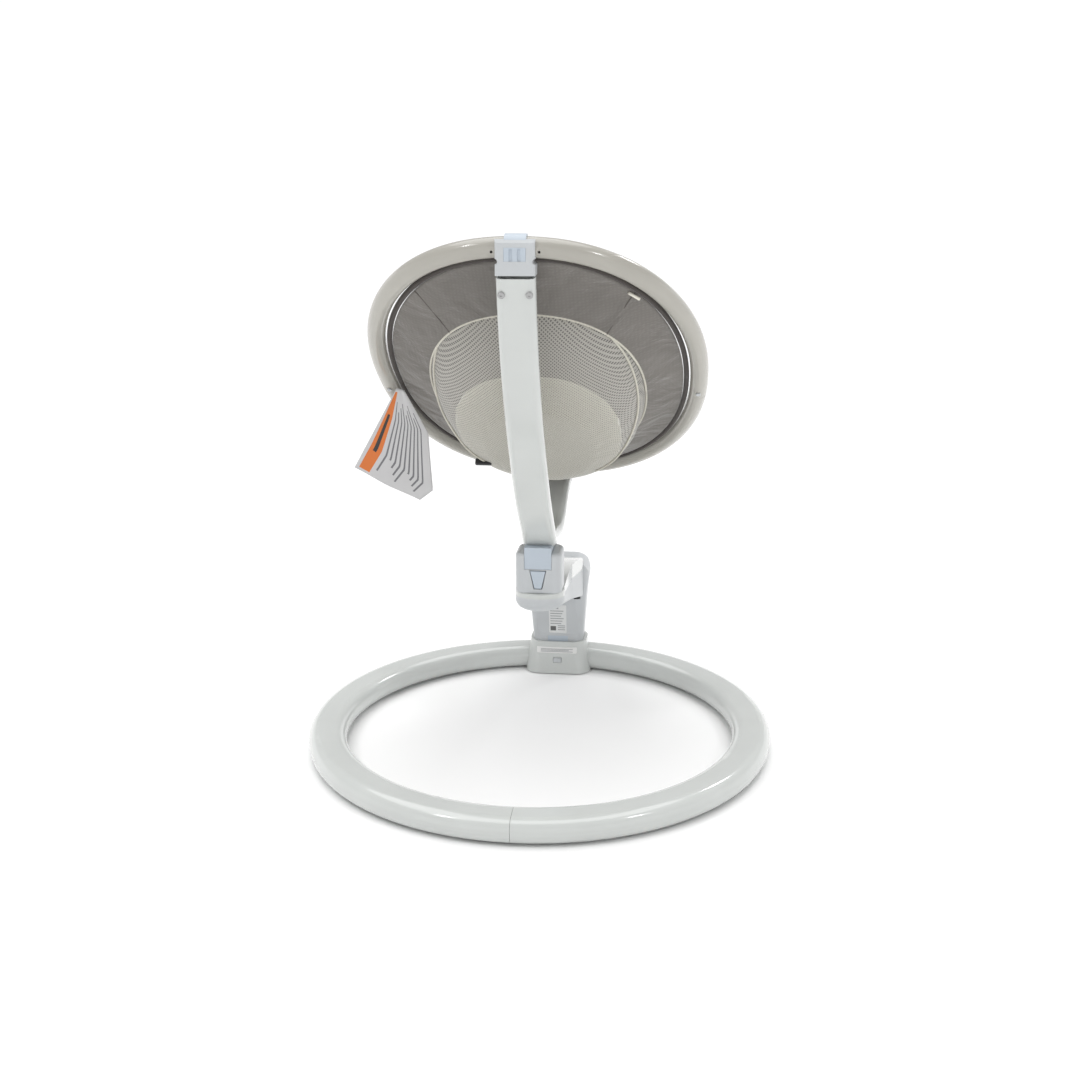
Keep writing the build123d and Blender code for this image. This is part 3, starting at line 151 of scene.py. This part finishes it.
def colour_ramp(tree, source, low, high, start=0.0, stop=1.0):
    """Colour between two shades, driven by a 0 to 1 value."""
    ramp = tree.nodes.new("ShaderNodeValToRGB")
    ramp.color_ramp.elements[0].position = start
    ramp.color_ramp.elements[0].color = (*low, 1)
    ramp.color_ramp.elements[1].position = stop
    ramp.color_ramp.elements[1].color = (*high, 1)
    tree.links.new(source, ramp.inputs["Fac"])
    return ramp.outputs["Color"]


def scaled_value(tree, source, low, high):
    span = tree.nodes.new("ShaderNodeMapRange")
    span.inputs["To Min"].default_value = low
    span.inputs["To Max"].default_value = high
    tree.links.new(source, span.inputs["Value"])
    return span.outputs["Result"]


def shade(colour, factor):
    return tuple(min(1.0, channel * factor) for channel in colour)


def moulded(name, colour, rough, coat=0.0, grain=0.00002, grain_scale=900, metallic=0.0):
    """Moulded or coated surface: faint mottling, uneven gloss and a fine moulded grain."""
    material, tree, shader = new_material(name)
    shader.inputs["Metallic"].default_value = metallic
    shader.inputs["Coat Weight"].default_value = coat
    shader.inputs["Coat Roughness"].default_value = 0.06
    where = tree.nodes.new("ShaderNodeTexCoord").outputs["Object"]
    cloud = add_node(tree, "ShaderNodeTexNoise", Scale=14.0, Detail=3.0)
    tree.links.new(where, cloud.inputs["Vector"])
    mottle = colour_ramp(tree, cloud.outputs["Fac"], shade(colour, 0.965), shade(colour, 1.02), 0.3, 0.7)
    tree.links.new(mottle, shader.inputs["Base Color"])
    gloss = scaled_value(tree, cloud.outputs["Fac"], rough * 0.8, rough * 1.25)
    tree.links.new(gloss, shader.inputs["Roughness"])
    fine = add_node(tree, "ShaderNodeTexNoise", Scale=float(grain_scale), Detail=2.0)
    tree.links.new(where, fine.inputs["Vector"])
    bump = add_node(tree, "ShaderNodeBump", Strength=0.35, Distance=grain)
    tree.links.new(fine.outputs["Fac"], bump.inputs["Height"])
    tree.links.new(bump.outputs["Normal"], shader.inputs["Normal"])
    return material


def brushed(name, colour, rough, streak=(40, 40, 700)):
    """Plated steel with fine drawn streaks."""
    material, tree, shader = new_material(name)
    shader.inputs["Metallic"].default_value = 1.0
    where = tree.nodes.new("ShaderNodeTexCoord").outputs["Object"]
    place = add_node(tree, "ShaderNodeMapping", Scale=streak)
    tree.links.new(where, place.inputs["Vector"])
    lines = add_node(tree, "ShaderNodeTexNoise", Scale=3.0, Detail=4.0)
    tree.links.new(place.outputs["Vector"], lines.inputs["Vector"])
    streaks = colour_ramp(tree, lines.outputs["Fac"], shade(colour, 0.85), shade(colour, 1.1), 0.3, 0.7)
    tree.links.new(streaks, shader.inputs["Base Color"])
    gloss = scaled_value(tree, lines.outputs["Fac"], rough * 0.7, rough * 1.4)
    tree.links.new(gloss, shader.inputs["Roughness"])
    return material


def woven(name, colour, pitch=0.0006, sheen=0.35, depth=0.00018, crease=0.0):
    """Plain weave that follows the piece's UVs, in metres, with slubs, fading and a soft nap."""
    material, tree, shader = new_material(name)
    shader.inputs["Roughness"].default_value = 0.85
    shader.inputs["Sheen Weight"].default_value = sheen
    shader.inputs["Sheen Roughness"].default_value = 0.4
    where = tree.nodes.new("ShaderNodeTexCoord").outputs["UV"]
    threads = []
    for direction in ("X", "Y"):
        wave = add_node(tree, "ShaderNodeTexWave", wave_type="BANDS", bands_direction=direction,
                        Scale=0.5 / (pitch * 10), Distortion=0.6, Detail=1.0)
        tree.links.new(where, wave.inputs["Vector"])
        threads.append(wave.outputs["Fac"])
    cross = add_node(tree, "ShaderNodeMath", operation="MULTIPLY")
    tree.links.new(threads[0], cross.inputs[0])
    tree.links.new(threads[1], cross.inputs[1])
    fade = add_node(tree, "ShaderNodeTexNoise", Scale=9.0, Detail=5.0)
    tree.links.new(where, fade.inputs["Vector"])
    mixed = add_node(tree, "ShaderNodeMath", operation="ADD")
    tree.links.new(scaled_value(tree, cross.outputs["Value"], 0.0, 0.16), mixed.inputs[0])
    tree.links.new(scaled_value(tree, fade.outputs["Fac"], 0.15, 0.85), mixed.inputs[1])
    dyed = colour_ramp(tree, mixed.outputs["Value"], shade(colour, 0.78), shade(colour, 1.2), 0.1, 0.8)
    tree.links.new(dyed, shader.inputs["Base Color"])
    bump = add_node(tree, "ShaderNodeBump", Strength=0.6, Distance=depth)
    tree.links.new(cross.outputs["Value"], bump.inputs["Height"])
    if crease:
        folds = add_node(tree, "ShaderNodeTexNoise", Scale=16.0, Detail=4.0, Distortion=1.2)
        tree.links.new(where, folds.inputs["Vector"])
        soft = add_node(tree, "ShaderNodeBump", Strength=0.8, Distance=crease)
        tree.links.new(folds.outputs["Fac"], soft.inputs["Height"])
        tree.links.new(soft.outputs["Normal"], bump.inputs["Normal"])
    tree.links.new(bump.outputs["Normal"], shader.inputs["Normal"])
    return material


def printed(name, paper, rows):
    """Label film with plain blocks in place of print: (lowest V, highest V, lowest U, highest U, colour)."""
    material, tree, shader = new_material(name)
    shader.inputs["Roughness"].default_value = 0.45
    uv = tree.nodes.new("ShaderNodeTexCoord").outputs["UV"]
    split = tree.nodes.new("ShaderNodeSeparateXYZ")
    tree.links.new(uv, split.inputs[0])
    current = add_node(tree, "ShaderNodeRGB")
    current.outputs[0].default_value = (*paper, 1)
    colour = current.outputs[0]
    for low, high, left, right, ink in rows:
        inside = None
        for output, edges in (("Y", (low, high)), ("X", (left, right))):
            for operation, edge in (("GREATER_THAN", edges[0]), ("LESS_THAN", edges[1])):
                test = add_node(tree, "ShaderNodeMath", operation=operation)
                tree.links.new(split.outputs[output], test.inputs[0])
                test.inputs[1].default_value = edge
                if inside is None:
                    inside = test.outputs[0]
                else:
                    both = add_node(tree, "ShaderNodeMath", operation="MULTIPLY")
                    tree.links.new(inside, both.inputs[0])
                    tree.links.new(test.outputs[0], both.inputs[1])
                    inside = both.outputs[0]
        mix = add_node(tree, "ShaderNodeMix", data_type="RGBA")
        tree.links.new(inside, mix.inputs["Factor"])
        tree.links.new(colour, mix.inputs[6])
        mix.inputs[7].default_value = (*ink, 1)
        colour = mix.outputs[2]
    tree.links.new(colour, shader.inputs["Base Color"])
    return material


GLOSS_WHITE = (0.59, 0.61, 0.595)
SATIN_WHITE = (0.53, 0.55, 0.565)
PALE_BLUE = (0.49, 0.55, 0.615)
HOOP_GREY = (0.40, 0.385, 0.345)
TAUPE = (0.165, 0.154, 0.141)
CREAM = (0.56, 0.54, 0.47)
# The upper net's cream is darkened here as painted shade of the pouch's inside; the lower net below is the
# lighter copy of the same net over the liner.
NET_CREAM_PAINTED_SHADE = (0.40, 0.385, 0.35)
LOWER_NET = (0.56, 0.545, 0.485)

looks = {
    "gloss_white": moulded("gloss_white", GLOSS_WHITE, 0.16, coat=0.6, grain=0.00004, grain_scale=220),
    "satin_white": moulded("satin_white", SATIN_WHITE, 0.36, coat=0.1, grain=0.00003, grain_scale=1500),
    "pale_blue": moulded("pale_blue", PALE_BLUE, 0.34, coat=0.1, grain=0.00003, grain_scale=1500),
    "hoop_coat": moulded("hoop_coat", HOOP_GREY, 0.22, coat=0.4, grain=0.00005, grain_scale=260),
    "black_gloss": moulded("black_gloss", (0.012, 0.012, 0.013), 0.09, coat=0.8),
    "rubber": moulded("rubber", (0.03, 0.03, 0.03), 0.75, grain=0.00008),
    "gear_plastic": moulded("gear_plastic", (0.78, 0.75, 0.66), 0.4),
    "board": moulded("board", (0.02, 0.13, 0.05), 0.35, coat=0.3),
    "screw_steel": brushed("screw_steel", (0.40, 0.40, 0.40), 0.3),
    "motor_can": brushed("motor_can", (0.45, 0.45, 0.46), 0.35),
}
for part in frame["record"]["subparts"]:
    look_name = part["material_slot"]
    if look_name in looks:
        mesh = nodes[part["node"]].data
        mesh.materials.clear()
        mesh.materials.append(looks[look_name])


# ---------------------------------------------------------------- the hoop's frame, read from the CAD
def joint_box(*names):
    corners = [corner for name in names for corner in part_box(name)]
    low = Vector([min(corner[i] for corner in corners) for i in range(3)])
    high = Vector([max(corner[i] for corner in corners) for i in range(3)])
    return low, high


TUBE = 11.5 * MM
hoop_low, hoop_high = joint_box("head_hoop", "foot_hoop")
hoop_centre = (hoop_low + hoop_high) / 2
run_y = (hoop_high.y - hoop_low.y) / 2 - TUBE
run_z = (hoop_high.z - hoop_low.z) / 2 - TUBE
HOOP_LENGTH = math.hypot(run_y, run_z)
HOOP_WIDTH = (hoop_high.x - hoop_low.x) / 2 - TUBE
hoop_tilt = math.atan2(run_z, run_y)
TO_FOOT = Vector((0, math.cos(hoop_tilt), -math.sin(hoop_tilt)))
NORMAL = Vector((0, math.sin(hoop_tilt), math.cos(hoop_tilt)))
SQUARENESS = 2.2


def hoop_place(x, s, h):
    """Model point from the hoop's own axes: sideways, towards the foot end, and up its normal."""
    return Vector((hoop_centre.x + x, hoop_centre.y, hoop_centre.z)) + TO_FOOT * s + NORMAL * h


def oval(half_width, half_length, angle, shift=0.0):
    c, s = math.cos(angle), math.sin(angle)
    reach = (abs(c / half_width) ** SQUARENESS + abs(s / half_length) ** SQUARENESS) ** (-1 / SQUARENESS)
    return reach * c, reach * s + shift


def new_piece(name, points, faces, material, uvs=None, smooth=True):
    """Mesh piece; uvs are one (u, v) pair per point, in metres."""
    data = bpy.data.meshes.new(name)
    data.from_pydata([tuple(p) for p in points], [], faces)
    data.materials.append(material)
    if uvs is not None:
        layer = data.uv_layers.new(name="cloth")
        for loop in data.loops:
            layer.data[loop.index].uv = uvs[loop.vertex_index]
    data.polygons.foreach_set("use_smooth", [smooth] * len(data.polygons))
    data.update()
    piece = bpy.data.objects.new(name, data)
    bpy.context.scene.collection.objects.link(piece)
    return piece


def thicken(piece, thickness):
    """Give a sheet its thickness, half on each side, in the mesh itself."""
    solid = piece.modifiers.new("thickness", "SOLIDIFY")
    solid.thickness = thickness
    solid.offset = 0.0
    apply_modifiers(piece)


def apply_modifiers(piece):
    bpy.context.view_layer.update()
    graph = bpy.context.evaluated_depsgraph_get()
    shaped = piece.evaluated_get(graph)
    data = bpy.data.meshes.new_from_object(shaped, preserve_all_data_layers=True, depsgraph=graph)
    piece.modifiers.clear()
    piece.data = data


def tube(name, route, radius, material, sides=10, closed=False):
    """Round cord along points, with UVs in metres."""
    count = len(route)
    points, uvs, faces = [], [], []
    length = 0.0
    up = NORMAL
    for i, point in enumerate(route):
        after = route[(i + 1) % count] if closed or i + 1 < count else point
        before = route[i - 1] if closed or i else point
        along = (after - before).normalized()
        side = along.cross(up).normalized()
        top = side.cross(along).normalized()
        if i:
            length += (point - route[i - 1]).length
        for k in range(sides):
            turn = 2 * math.pi * k / sides
            points.append(point + side * (radius * math.cos(turn)) + top * (radius * math.sin(turn)))
            uvs.append((length, radius * turn))
    rows = count if closed else count - 1
    for i in range(rows):
        for k in range(sides):
            a = i * sides + k
            b = i * sides + (k + 1) % sides
            c = ((i + 1) % count) * sides + (k + 1) % sides
            d = ((i + 1) % count) * sides + k
            faces.append((a, b, c, d))
    if not closed:
        faces.append(tuple(reversed(range(sides))))
        faces.append(tuple((count - 1) * sides + k for k in range(sides)))
    return new_piece(name, points, faces, material, uvs)


# ---------------------------------------------------------------- the seat's cloth
sling_cloth = woven("sling_cloth", TAUPE, pitch=0.0007, crease=0.010)
piping_cloth = woven("piping_cloth", (0.055, 0.047, 0.043), pitch=0.0006, sheen=0.2)
liner_cloth = woven("liner_cloth", CREAM, pitch=0.0008, crease=0.003)
strap_cloth = woven("strap_cloth", (0.07, 0.062, 0.058), pitch=0.0012, depth=0.0003)
thread_look = moulded("thread", (0.82, 0.79, 0.70), 0.7)
dark_thread = moulded("dark_thread", (0.10, 0.09, 0.08), 0.7)

PIPING_INSET = 16 * MM
RIM_WIDTH = 134 * MM
RIM_LENGTH = 190 * MM
RIM_SHIFT = 5 * MM
RIM_HEIGHT = -25 * MM
POUCH_DEPTH = 59 * MM
SLING_TOP = -4 * MM
SLING_WIDTH = 180 * MM
SLING_LENGTH = 266 * MM
AROUND = 256
# share of the depth, share of the rim, lean towards the foot
POUCH_LEVELS = ((0, 1, 0), (0.42, 0.93, 14 * MM), (0.8, 0.76, 30 * MM), (1.0, 0.5, 44 * MM))


def between(levels, share):
    for low, high in zip(levels, levels[1:]):
        if share <= high[0]:
            t = (share - low[0]) / (high[0] - low[0])
            return [a + (b - a) * t for a, b in zip(low[1:], high[1:])]
    return list(levels[-1][1:])


def crumple(x, s, seed, size):
    return noise.noise(Vector((x * size, s * size, seed)))


def make_sling():
    """Tight cloth from the hoop down to the pouch's rim, drawn into gathers near the rim."""
    rows = 18
    points, uvs, faces = [], [], []
    for row in range(rows + 1):
        share = row / rows
        for k in range(AROUND):
            angle = 2 * math.pi * k / AROUND
            outer = oval(SLING_WIDTH, SLING_LENGTH, angle)
            inner = oval(RIM_WIDTH, RIM_LENGTH, angle, RIM_SHIFT)
            x = outer[0] + (inner[0] - outer[0]) * share
            s = outer[1] + (inner[1] - outer[1]) * share
            h = SLING_TOP + (RIM_HEIGHT - SLING_TOP) * share ** 1.15
            middle = math.sin(math.pi * share)
            gather = math.sin(angle * 46 + 3 * math.sin(angle * 5)) * 0.35 * share * (1 - share) * 4
            soft = crumple(x, s, 2.0, 24) * 2.2 + crumple(x, s, 7.0, 60) * 1.0
            h += middle * MM * (gather + soft * 1.1)
            points.append(hoop_place(x, s, h))
            uvs.append((x, s))
    for row in range(rows):
        for k in range(AROUND):
            following = (k + 1) % AROUND
            faces.append((row * AROUND + k, row * AROUND + following, (row + 1) * AROUND + following,
                          (row + 1) * AROUND + k))
    piece = new_piece("sling", points, faces, sling_cloth, uvs)
    thicken(piece, 1.6 * MM)
    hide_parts("seat_sling")
    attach(piece, "seat")


def pouch_profile(share):
    """Rounded reading of the pouch's levels: size of the oval, and lean."""
    spread = 0.09
    samples = [between(POUCH_LEVELS, min(1.0, max(0.0, share + spread * k / 3))) for k in range(-3, 4)]
    return [sum(column) / len(samples) for column in zip(*samples)]


def pouch_point(share, angle, inside=0.0):
    size, lean = pouch_profile(share)
    x, s = oval(RIM_WIDTH * size - inside, RIM_LENGTH * size - inside, angle, RIM_SHIFT + lean)
    return x, s, RIM_HEIGHT - POUCH_DEPTH * share


make_sling()


# ---------------------------------------------------------------- the mesh pouch and its lining
def open_mesh(name, colour, gap_colour, gap_cover, pitch, hole):
    """Knitted mesh in the piece's UVs, in metres; gap_colour fills the openings (painted shade on the upper
    mesh), and gap_cover is how much an opening hides what is behind.
    """
    material, tree, shader = new_material(name)
    shader.inputs["Roughness"].default_value = 0.8
    shader.inputs["Sheen Weight"].default_value = 0.3
    split = tree.nodes.new("ShaderNodeSeparateXYZ")
    tree.links.new(tree.nodes.new("ShaderNodeTexCoord").outputs["UV"], split.inputs[0])
    tests = []
    for operation in ("ADD", "SUBTRACT"):
        value = split.outputs["X"]
        for step, amount in ((operation, None), ("MULTIPLY", 0.7071 / pitch), ("FRACT", None),
                             ("SUBTRACT", 0.5), ("ABSOLUTE", None)):
            math_node = add_node(tree, "ShaderNodeMath", operation=step)
            tree.links.new(value, math_node.inputs[0])
            if step == operation and amount is None:
                tree.links.new(split.outputs["Y"], math_node.inputs[1])
            elif amount is not None:
                math_node.inputs[1].default_value = amount
            value = math_node.outputs[0]
        tests.append(value)
    reach = add_node(tree, "ShaderNodeMath", operation="MAXIMUM")
    tree.links.new(tests[0], reach.inputs[0])
    tree.links.new(tests[1], reach.inputs[1])
    solid = add_node(tree, "ShaderNodeMath", operation="GREATER_THAN")
    tree.links.new(reach.outputs[0], solid.inputs[0])
    solid.inputs[1].default_value = hole
    tree.links.new(colour_ramp(tree, solid.outputs[0], gap_colour, colour), shader.inputs["Base Color"])
    tree.links.new(scaled_value(tree, solid.outputs[0], gap_cover, 1.0), shader.inputs["Alpha"])
    bump = add_node(tree, "ShaderNodeBump", Strength=0.5, Distance=0.0004)
    tree.links.new(reach.outputs[0], bump.inputs["Height"])
    tree.links.new(bump.outputs["Normal"], shader.inputs["Normal"])
    return material


MESH_PITCH = 0.0036
# The upper mesh fills its openings with near-black at 0.82 cover and uses the darkened cream: painted shade
# of the pouch's inside. The lower mesh is the lighter copy, mostly open onto the liner.
upper_mesh_painted_shade = open_mesh("upper_mesh_painted_shade", NET_CREAM_PAINTED_SHADE, (0.135, 0.128, 0.12), 0.82, MESH_PITCH, 0.27)
lower_mesh_cloth = open_mesh("lower_mesh_cloth", LOWER_NET, CREAM, 0.25, MESH_PITCH, 0.31)


def make_bowl(name, first, inside, material, ripple):
    """Bowl of cloth between a share of the pouch's depth and its closed bottom."""
    rows, floor_rows = 22, 8
    points, uvs, faces = [], [], []
    for row in range(rows + floor_rows + 1):
        if row <= rows:
            share = first + (1 - first) * row / rows
            shrink = 1.0
        else:
            share = 1.0
            shrink = 1 - (row - rows) / (floor_rows + 0.3)
        for k in range(AROUND):
            angle = 2 * math.pi * k / AROUND
            x, s, h = pouch_point(share, angle, inside)
            middle_s = RIM_SHIFT + pouch_profile(1.0)[1]
            x *= shrink
            s = middle_s + (s - middle_s) * shrink if row > rows else s
            fold = ripple * share * (1 - 0.8 * (1 - shrink))
            push = fold * (math.sin(angle * 17 + 2 * math.sin(angle * 3)) * 0.5 + crumple(x, s, 4.0, 40))
            x -= math.cos(angle) * (fold + push) * 0.5
            s -= math.sin(angle) * (fold + push) * 0.5
            points.append(hoop_place(x, s, h + inside * 0.6))
            uvs.append((x * (1.0 + 0.3 * share), s - h * 0.4))
    total = rows + floor_rows + 1
    for row in range(total - 1):
        for k in range(AROUND):
            following = (k + 1) % AROUND
            faces.append((row * AROUND + k, row * AROUND + following, (row + 1) * AROUND + following,
                          (row + 1) * AROUND + k))
    faces.append(tuple((total - 1) * AROUND + k for k in range(AROUND)))
    return new_piece(name, points, faces, material, uvs)


LINER_START = 0.72
pouch = make_bowl("pouch", 0.0, 0.6 * MM, upper_mesh_painted_shade, 2.2 * MM)
# Faces above the liner take the mesh with painted shade; faces lower down take the lighter copy over the
# liner.
pouch.data.materials.append(lower_mesh_cloth)
for face in pouch.data.polygons:
    low_point = (pouch.matrix_world @ face.center - hoop_place(0, 0, 0)).dot(NORMAL)
    face.material_index = int(low_point < RIM_HEIGHT - POUCH_DEPTH * LINER_START)
liner = make_bowl("liner", LINER_START, 3.4 * MM, liner_cloth, 2.6 * MM)
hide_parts("mesh_pouch")
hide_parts("pouch_liner")
for soft in (pouch, liner):
    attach(soft, "seat")


# ---------------------------------------------------------------- edging, seams and ties
def rim_route(half_width, half_length, height, count=180, shift=0.0):
    route = []
    for k in range(count):
        angle = 2 * math.pi * k / count
        x, s = oval(half_width, half_length, angle, shift)
        route.append(hoop_place(x, s, height))
    return route


piping_route = rim_route(HOOP_WIDTH - PIPING_INSET, HOOP_LENGTH - PIPING_INSET, -3 * MM)
piping = tube("piping_roll", piping_route, 3.4 * MM, piping_cloth, closed=True)
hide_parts("piping")
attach(piping, "seat")

rim_seam_route = rim_route(RIM_WIDTH + 0.4 * MM, RIM_LENGTH + 0.4 * MM, RIM_HEIGHT, shift=RIM_SHIFT)
rim_seam = tube("rim_seam", rim_seam_route, 1.5 * MM, liner_cloth, closed=True)
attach(rim_seam, "seat")

seams = []
SEAM_END = 0.86
for start, stop in ((-135, -222), (-55, 55)):
    route = []
    for step in range(41):
        share = SEAM_END * step / 40
        x, s, h = pouch_point(share, math.radians(start + (stop - start) * step / 40), -0.4 * MM)
        route.append(hoop_place(x, s, h))
    seams.append(tube("pouch_seam", route, 1.4 * MM, liner_cloth))
for turn in (-58, -122):
    outer = oval(SLING_WIDTH, SLING_LENGTH, math.radians(turn))
    inner = oval(RIM_WIDTH, RIM_LENGTH, math.radians(turn), RIM_SHIFT)
    route = []
    for step in range(13):
        share = step / 12
        height = SLING_TOP + (RIM_HEIGHT - SLING_TOP) * share ** 1.15 - 0.9 * MM
        x = outer[0] + (inner[0] - outer[0]) * share
        s = outer[1] + (inner[1] - outer[1]) * share
        route.append(hoop_place(x, s, height))
    seams.append(tube("sling_seam", route, 0.7 * MM, dark_thread))
for seam in seams:
    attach(seam, "seat")


# ---------------------------------------------------------------- straps and tag
def ribbon(name, route, across, thickness, material, columns=8):
    """Flat webbing along a route: across is the direction and half width of the band."""
    points, uvs, faces = [], [], []
    length = 0.0
    for i, point in enumerate(route):
        if i:
            length += (point - route[i - 1]).length
        for k in range(columns + 1):
            share = 2 * k / columns - 1
            points.append(point + across * share)
            uvs.append((across.length * share, length))
    width = columns + 1
    for i in range(len(route) - 1):
        for k in range(columns):
            faces.append((i * width + k, i * width + k + 1, (i + 1) * width + k + 1, (i + 1) * width + k))
    piece = new_piece(name, points, faces, material, uvs)
    thicken(piece, thickness)
    return piece


def smooth_route(corners, count):
    """Points along a rounded path through (x, s, h) corners in the hoop's axes."""
    route = []
    last = len(corners) - 1
    for i in range(count + 1):
        t = i / count * last
        k = min(int(t), last - 1)
        u = t - k
        before, start, end, after = [Vector(corners[min(max(j, 0), last)]) for j in (k - 1, k, k + 1, k + 2)]
        place = 0.5 * (2 * start + (end - before) * u + (2 * before - 5 * start + 4 * end - after) * u * u
                       + (3 * start - before - 3 * end + after) * u ** 3)
        route.append(hoop_place(*place))
    return route


STRAP_HALF = 12.5 * MM
crotch = ribbon("crotch_webbing", smooth_route([(0, 0.0715, -0.0785), (0, 0.063, -0.062), (0, 0.053, -0.0435),
                                                (0, 0.040, -0.0365), (0, 0.021, -0.0360)], 24),
                Vector((STRAP_HALF, 0, 0)), 1.4 * MM, strap_cloth)
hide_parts("crotch_strap")
WAIST_CORNERS = ((0.0193, 0.030, -0.0285), (0.05, 0.030, -0.0305),
                 (0.08, 0.030, -0.0365), (0.111, 0.030, -0.0420))


def waist_strap(name, side):
    """Webbing from the buckle to the edge of the pouch on one side."""
    corners = [(side * x, s, h) for x, s, h in WAIST_CORNERS]
    return ribbon(name, smooth_route(corners, 24), TO_FOOT * STRAP_HALF, 1.4 * MM, strap_cloth)


waist_left = waist_strap("waist_webbing_left", -1)
waist_right = waist_strap("waist_webbing_right", 1)
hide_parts("waist_straps")
for strap in (crotch, waist_left, waist_right):
    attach(strap, "seat")

clip_look = moulded("strap_clip", (0.02, 0.02, 0.022), 0.3)


def rounded_bar(name, place, along, across, up, size, material):
    """Small moulded block with eased edges; size is its full length, width and height."""
    points = []
    for a in (-1, 1):
        for b in (-1, 1):
            for c in (-1, 1):
                corner = along * (a * size[0] / 2) + across * (b * size[1] / 2) + up * (c * size[2] / 2)
                points.append(place + corner)
    faces = [(0, 1, 3, 2), (4, 6, 7, 5), (0, 4, 5, 1), (2, 3, 7, 6), (0, 2, 6, 4), (1, 5, 7, 3)]
    piece = new_piece(name, points, faces, material, smooth=False)
    bevel = piece.modifiers.new("ease", "BEVEL")
    bevel.width = min(size) * 0.3
    bevel.segments = 3
    apply_modifiers(piece)
    return piece


SIDE = Vector((1, 0, 0))
clip_turn = math.radians(138)
clip_x, clip_s, clip_h = pouch_point(0.86, clip_turn, -3.0 * MM)
clip = rounded_bar("strap_clip", hoop_place(clip_x, clip_s, clip_h), SIDE, TO_FOOT, NORMAL,
                   (0.022, 0.006, 0.009), clip_look)
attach(clip, "seat")
tie_route = [hoop_place(0.119 + 0.012 * t, -0.205 + 0.010 * t, -0.0075 - 0.002 * t) for t in (0, 0.5, 1)]
tie = tube("tie_end", tie_route, 1.8 * MM, thread_look)
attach(tie, "seat")


def make_tag():
    """White cloth label hanging beside the pouch, with a coloured edge and plain grey bars for print."""
    low, high = joint_box("care_tag")
    face_y = (low.y + high.y) / 2
    left = [(-0.186, 0.466), (-0.246, 0.360)]
    right = [(-0.176, 0.464), (-0.146, 0.408), (-0.142, 0.332), (-0.160, 0.318)]
    rows, columns = 40, 30
    points, uvs, faces = [], [], []
    for i in range(rows + 1):
        t = i / rows
        start = Vector(left[0]).lerp(Vector(left[1]), t)
        k = min(int(t * 3), 2)
        end = Vector(right[k]).lerp(Vector(right[k + 1]), t * 3 - k)
        for j in range(columns + 1):
            share = j / columns
            flat = start.lerp(end, share)
            wave = 0.0028 * math.sin(5.0 * share + 2.2 * t) * (0.3 + 0.7 * t)
            wave += 0.0016 * noise.noise((share * 3, t * 3, 5))
            points.append(Vector((flat[0], face_y + wave, flat[1])))
            uvs.append((share, t))
    width = columns + 1
    for i in range(rows):
        for j in range(columns):
            faces.append((i * width + j, (i + 1) * width + j, (i + 1) * width + j + 1, i * width + j + 1))
    ink = (0.17, 0.17, 0.18)
    bars = [(0.04, 0.97, 0.05, 0.21, (0.66, 0.17, 0.03)), (0.30, 0.72, 0.10, 0.15, (0.03, 0.03, 0.03))]
    for n in range(9):
        start = 0.14 + 0.05 * ((n * 5) % 3)
        bars.append((start, 0.90 - 0.07 * ((n * 7) % 4), 0.27 + 0.07 * n, 0.295 + 0.07 * n, ink))
    piece = new_piece("hanging_tag", points, faces, printed("tag_print", (0.56, 0.555, 0.56), bars), uvs)
    thicken(piece, 0.7 * MM)
    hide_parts("care_tag")
    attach(piece, "seat")
    return piece


tag = make_tag()


# ---------------------------------------------------------------- cloth thickness
thicken(pouch, 0.5 * MM)
thicken(liner, 0.9 * MM)


# ---------------------------------------------------------------- printed labels on the mouldings
def print_on(node, bars, paper):
    """Give a CAD label plain bars, placed by its height and width."""
    low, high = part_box(node)
    material = printed(node + "_print", paper, bars)
    tree = material.node_tree
    place = tree.nodes.new("ShaderNodeTexCoord").outputs["Object"]
    apart = tree.nodes.new("ShaderNodeSeparateXYZ")
    tree.links.new(place, apart.inputs[0])
    join = tree.nodes.new("ShaderNodeCombineXYZ")
    spans = (("X", 0, low[0], high[0]), ("Z", 1, low[2], high[2]))
    for source, target, start, stop in spans:
        fit = tree.nodes.new("ShaderNodeMapRange")
        fit.inputs["From Min"].default_value = start
        fit.inputs["From Max"].default_value = stop
        tree.links.new(apart.outputs[source], fit.inputs["Value"])
        tree.links.new(fit.outputs["Result"], join.inputs[target])
    for link in list(tree.links):
        if link.from_node.type == "TEX_COORD" and link.from_socket.name == "UV":
            tree.links.new(join.outputs[0], link.to_socket)
    mesh = nodes[node].data
    mesh.materials.clear()
    mesh.materials.append(material)


GREY_INK = (0.30, 0.31, 0.32)
rating_bars = [(0.86, 0.93, 0.08, 0.55, GREY_INK), (0.08, 0.24, 0.08, 0.40, (0.12, 0.12, 0.12))]
rating_bars += [(0.32 + 0.09 * n, 0.35 + 0.09 * n, 0.08, 0.70 + 0.07 * (n % 3), GREY_INK) for n in range(6)]
rating_bars += [(0.10 + 0.07 * n, 0.13 + 0.07 * n, 0.50, 0.92, GREY_INK) for n in range(3)]
print_on("rating_label", rating_bars, (0.72, 0.73, 0.73))
sticker_bars = [(0.2 + 0.2 * n, 0.3 + 0.2 * n, 0.1, 0.9 - 0.1 * (n % 2), GREY_INK) for n in range(3)]
print_on("hub_sticker", sticker_bars, (0.78, 0.78, 0.77))


# ---------------------------------------------------------------- finish
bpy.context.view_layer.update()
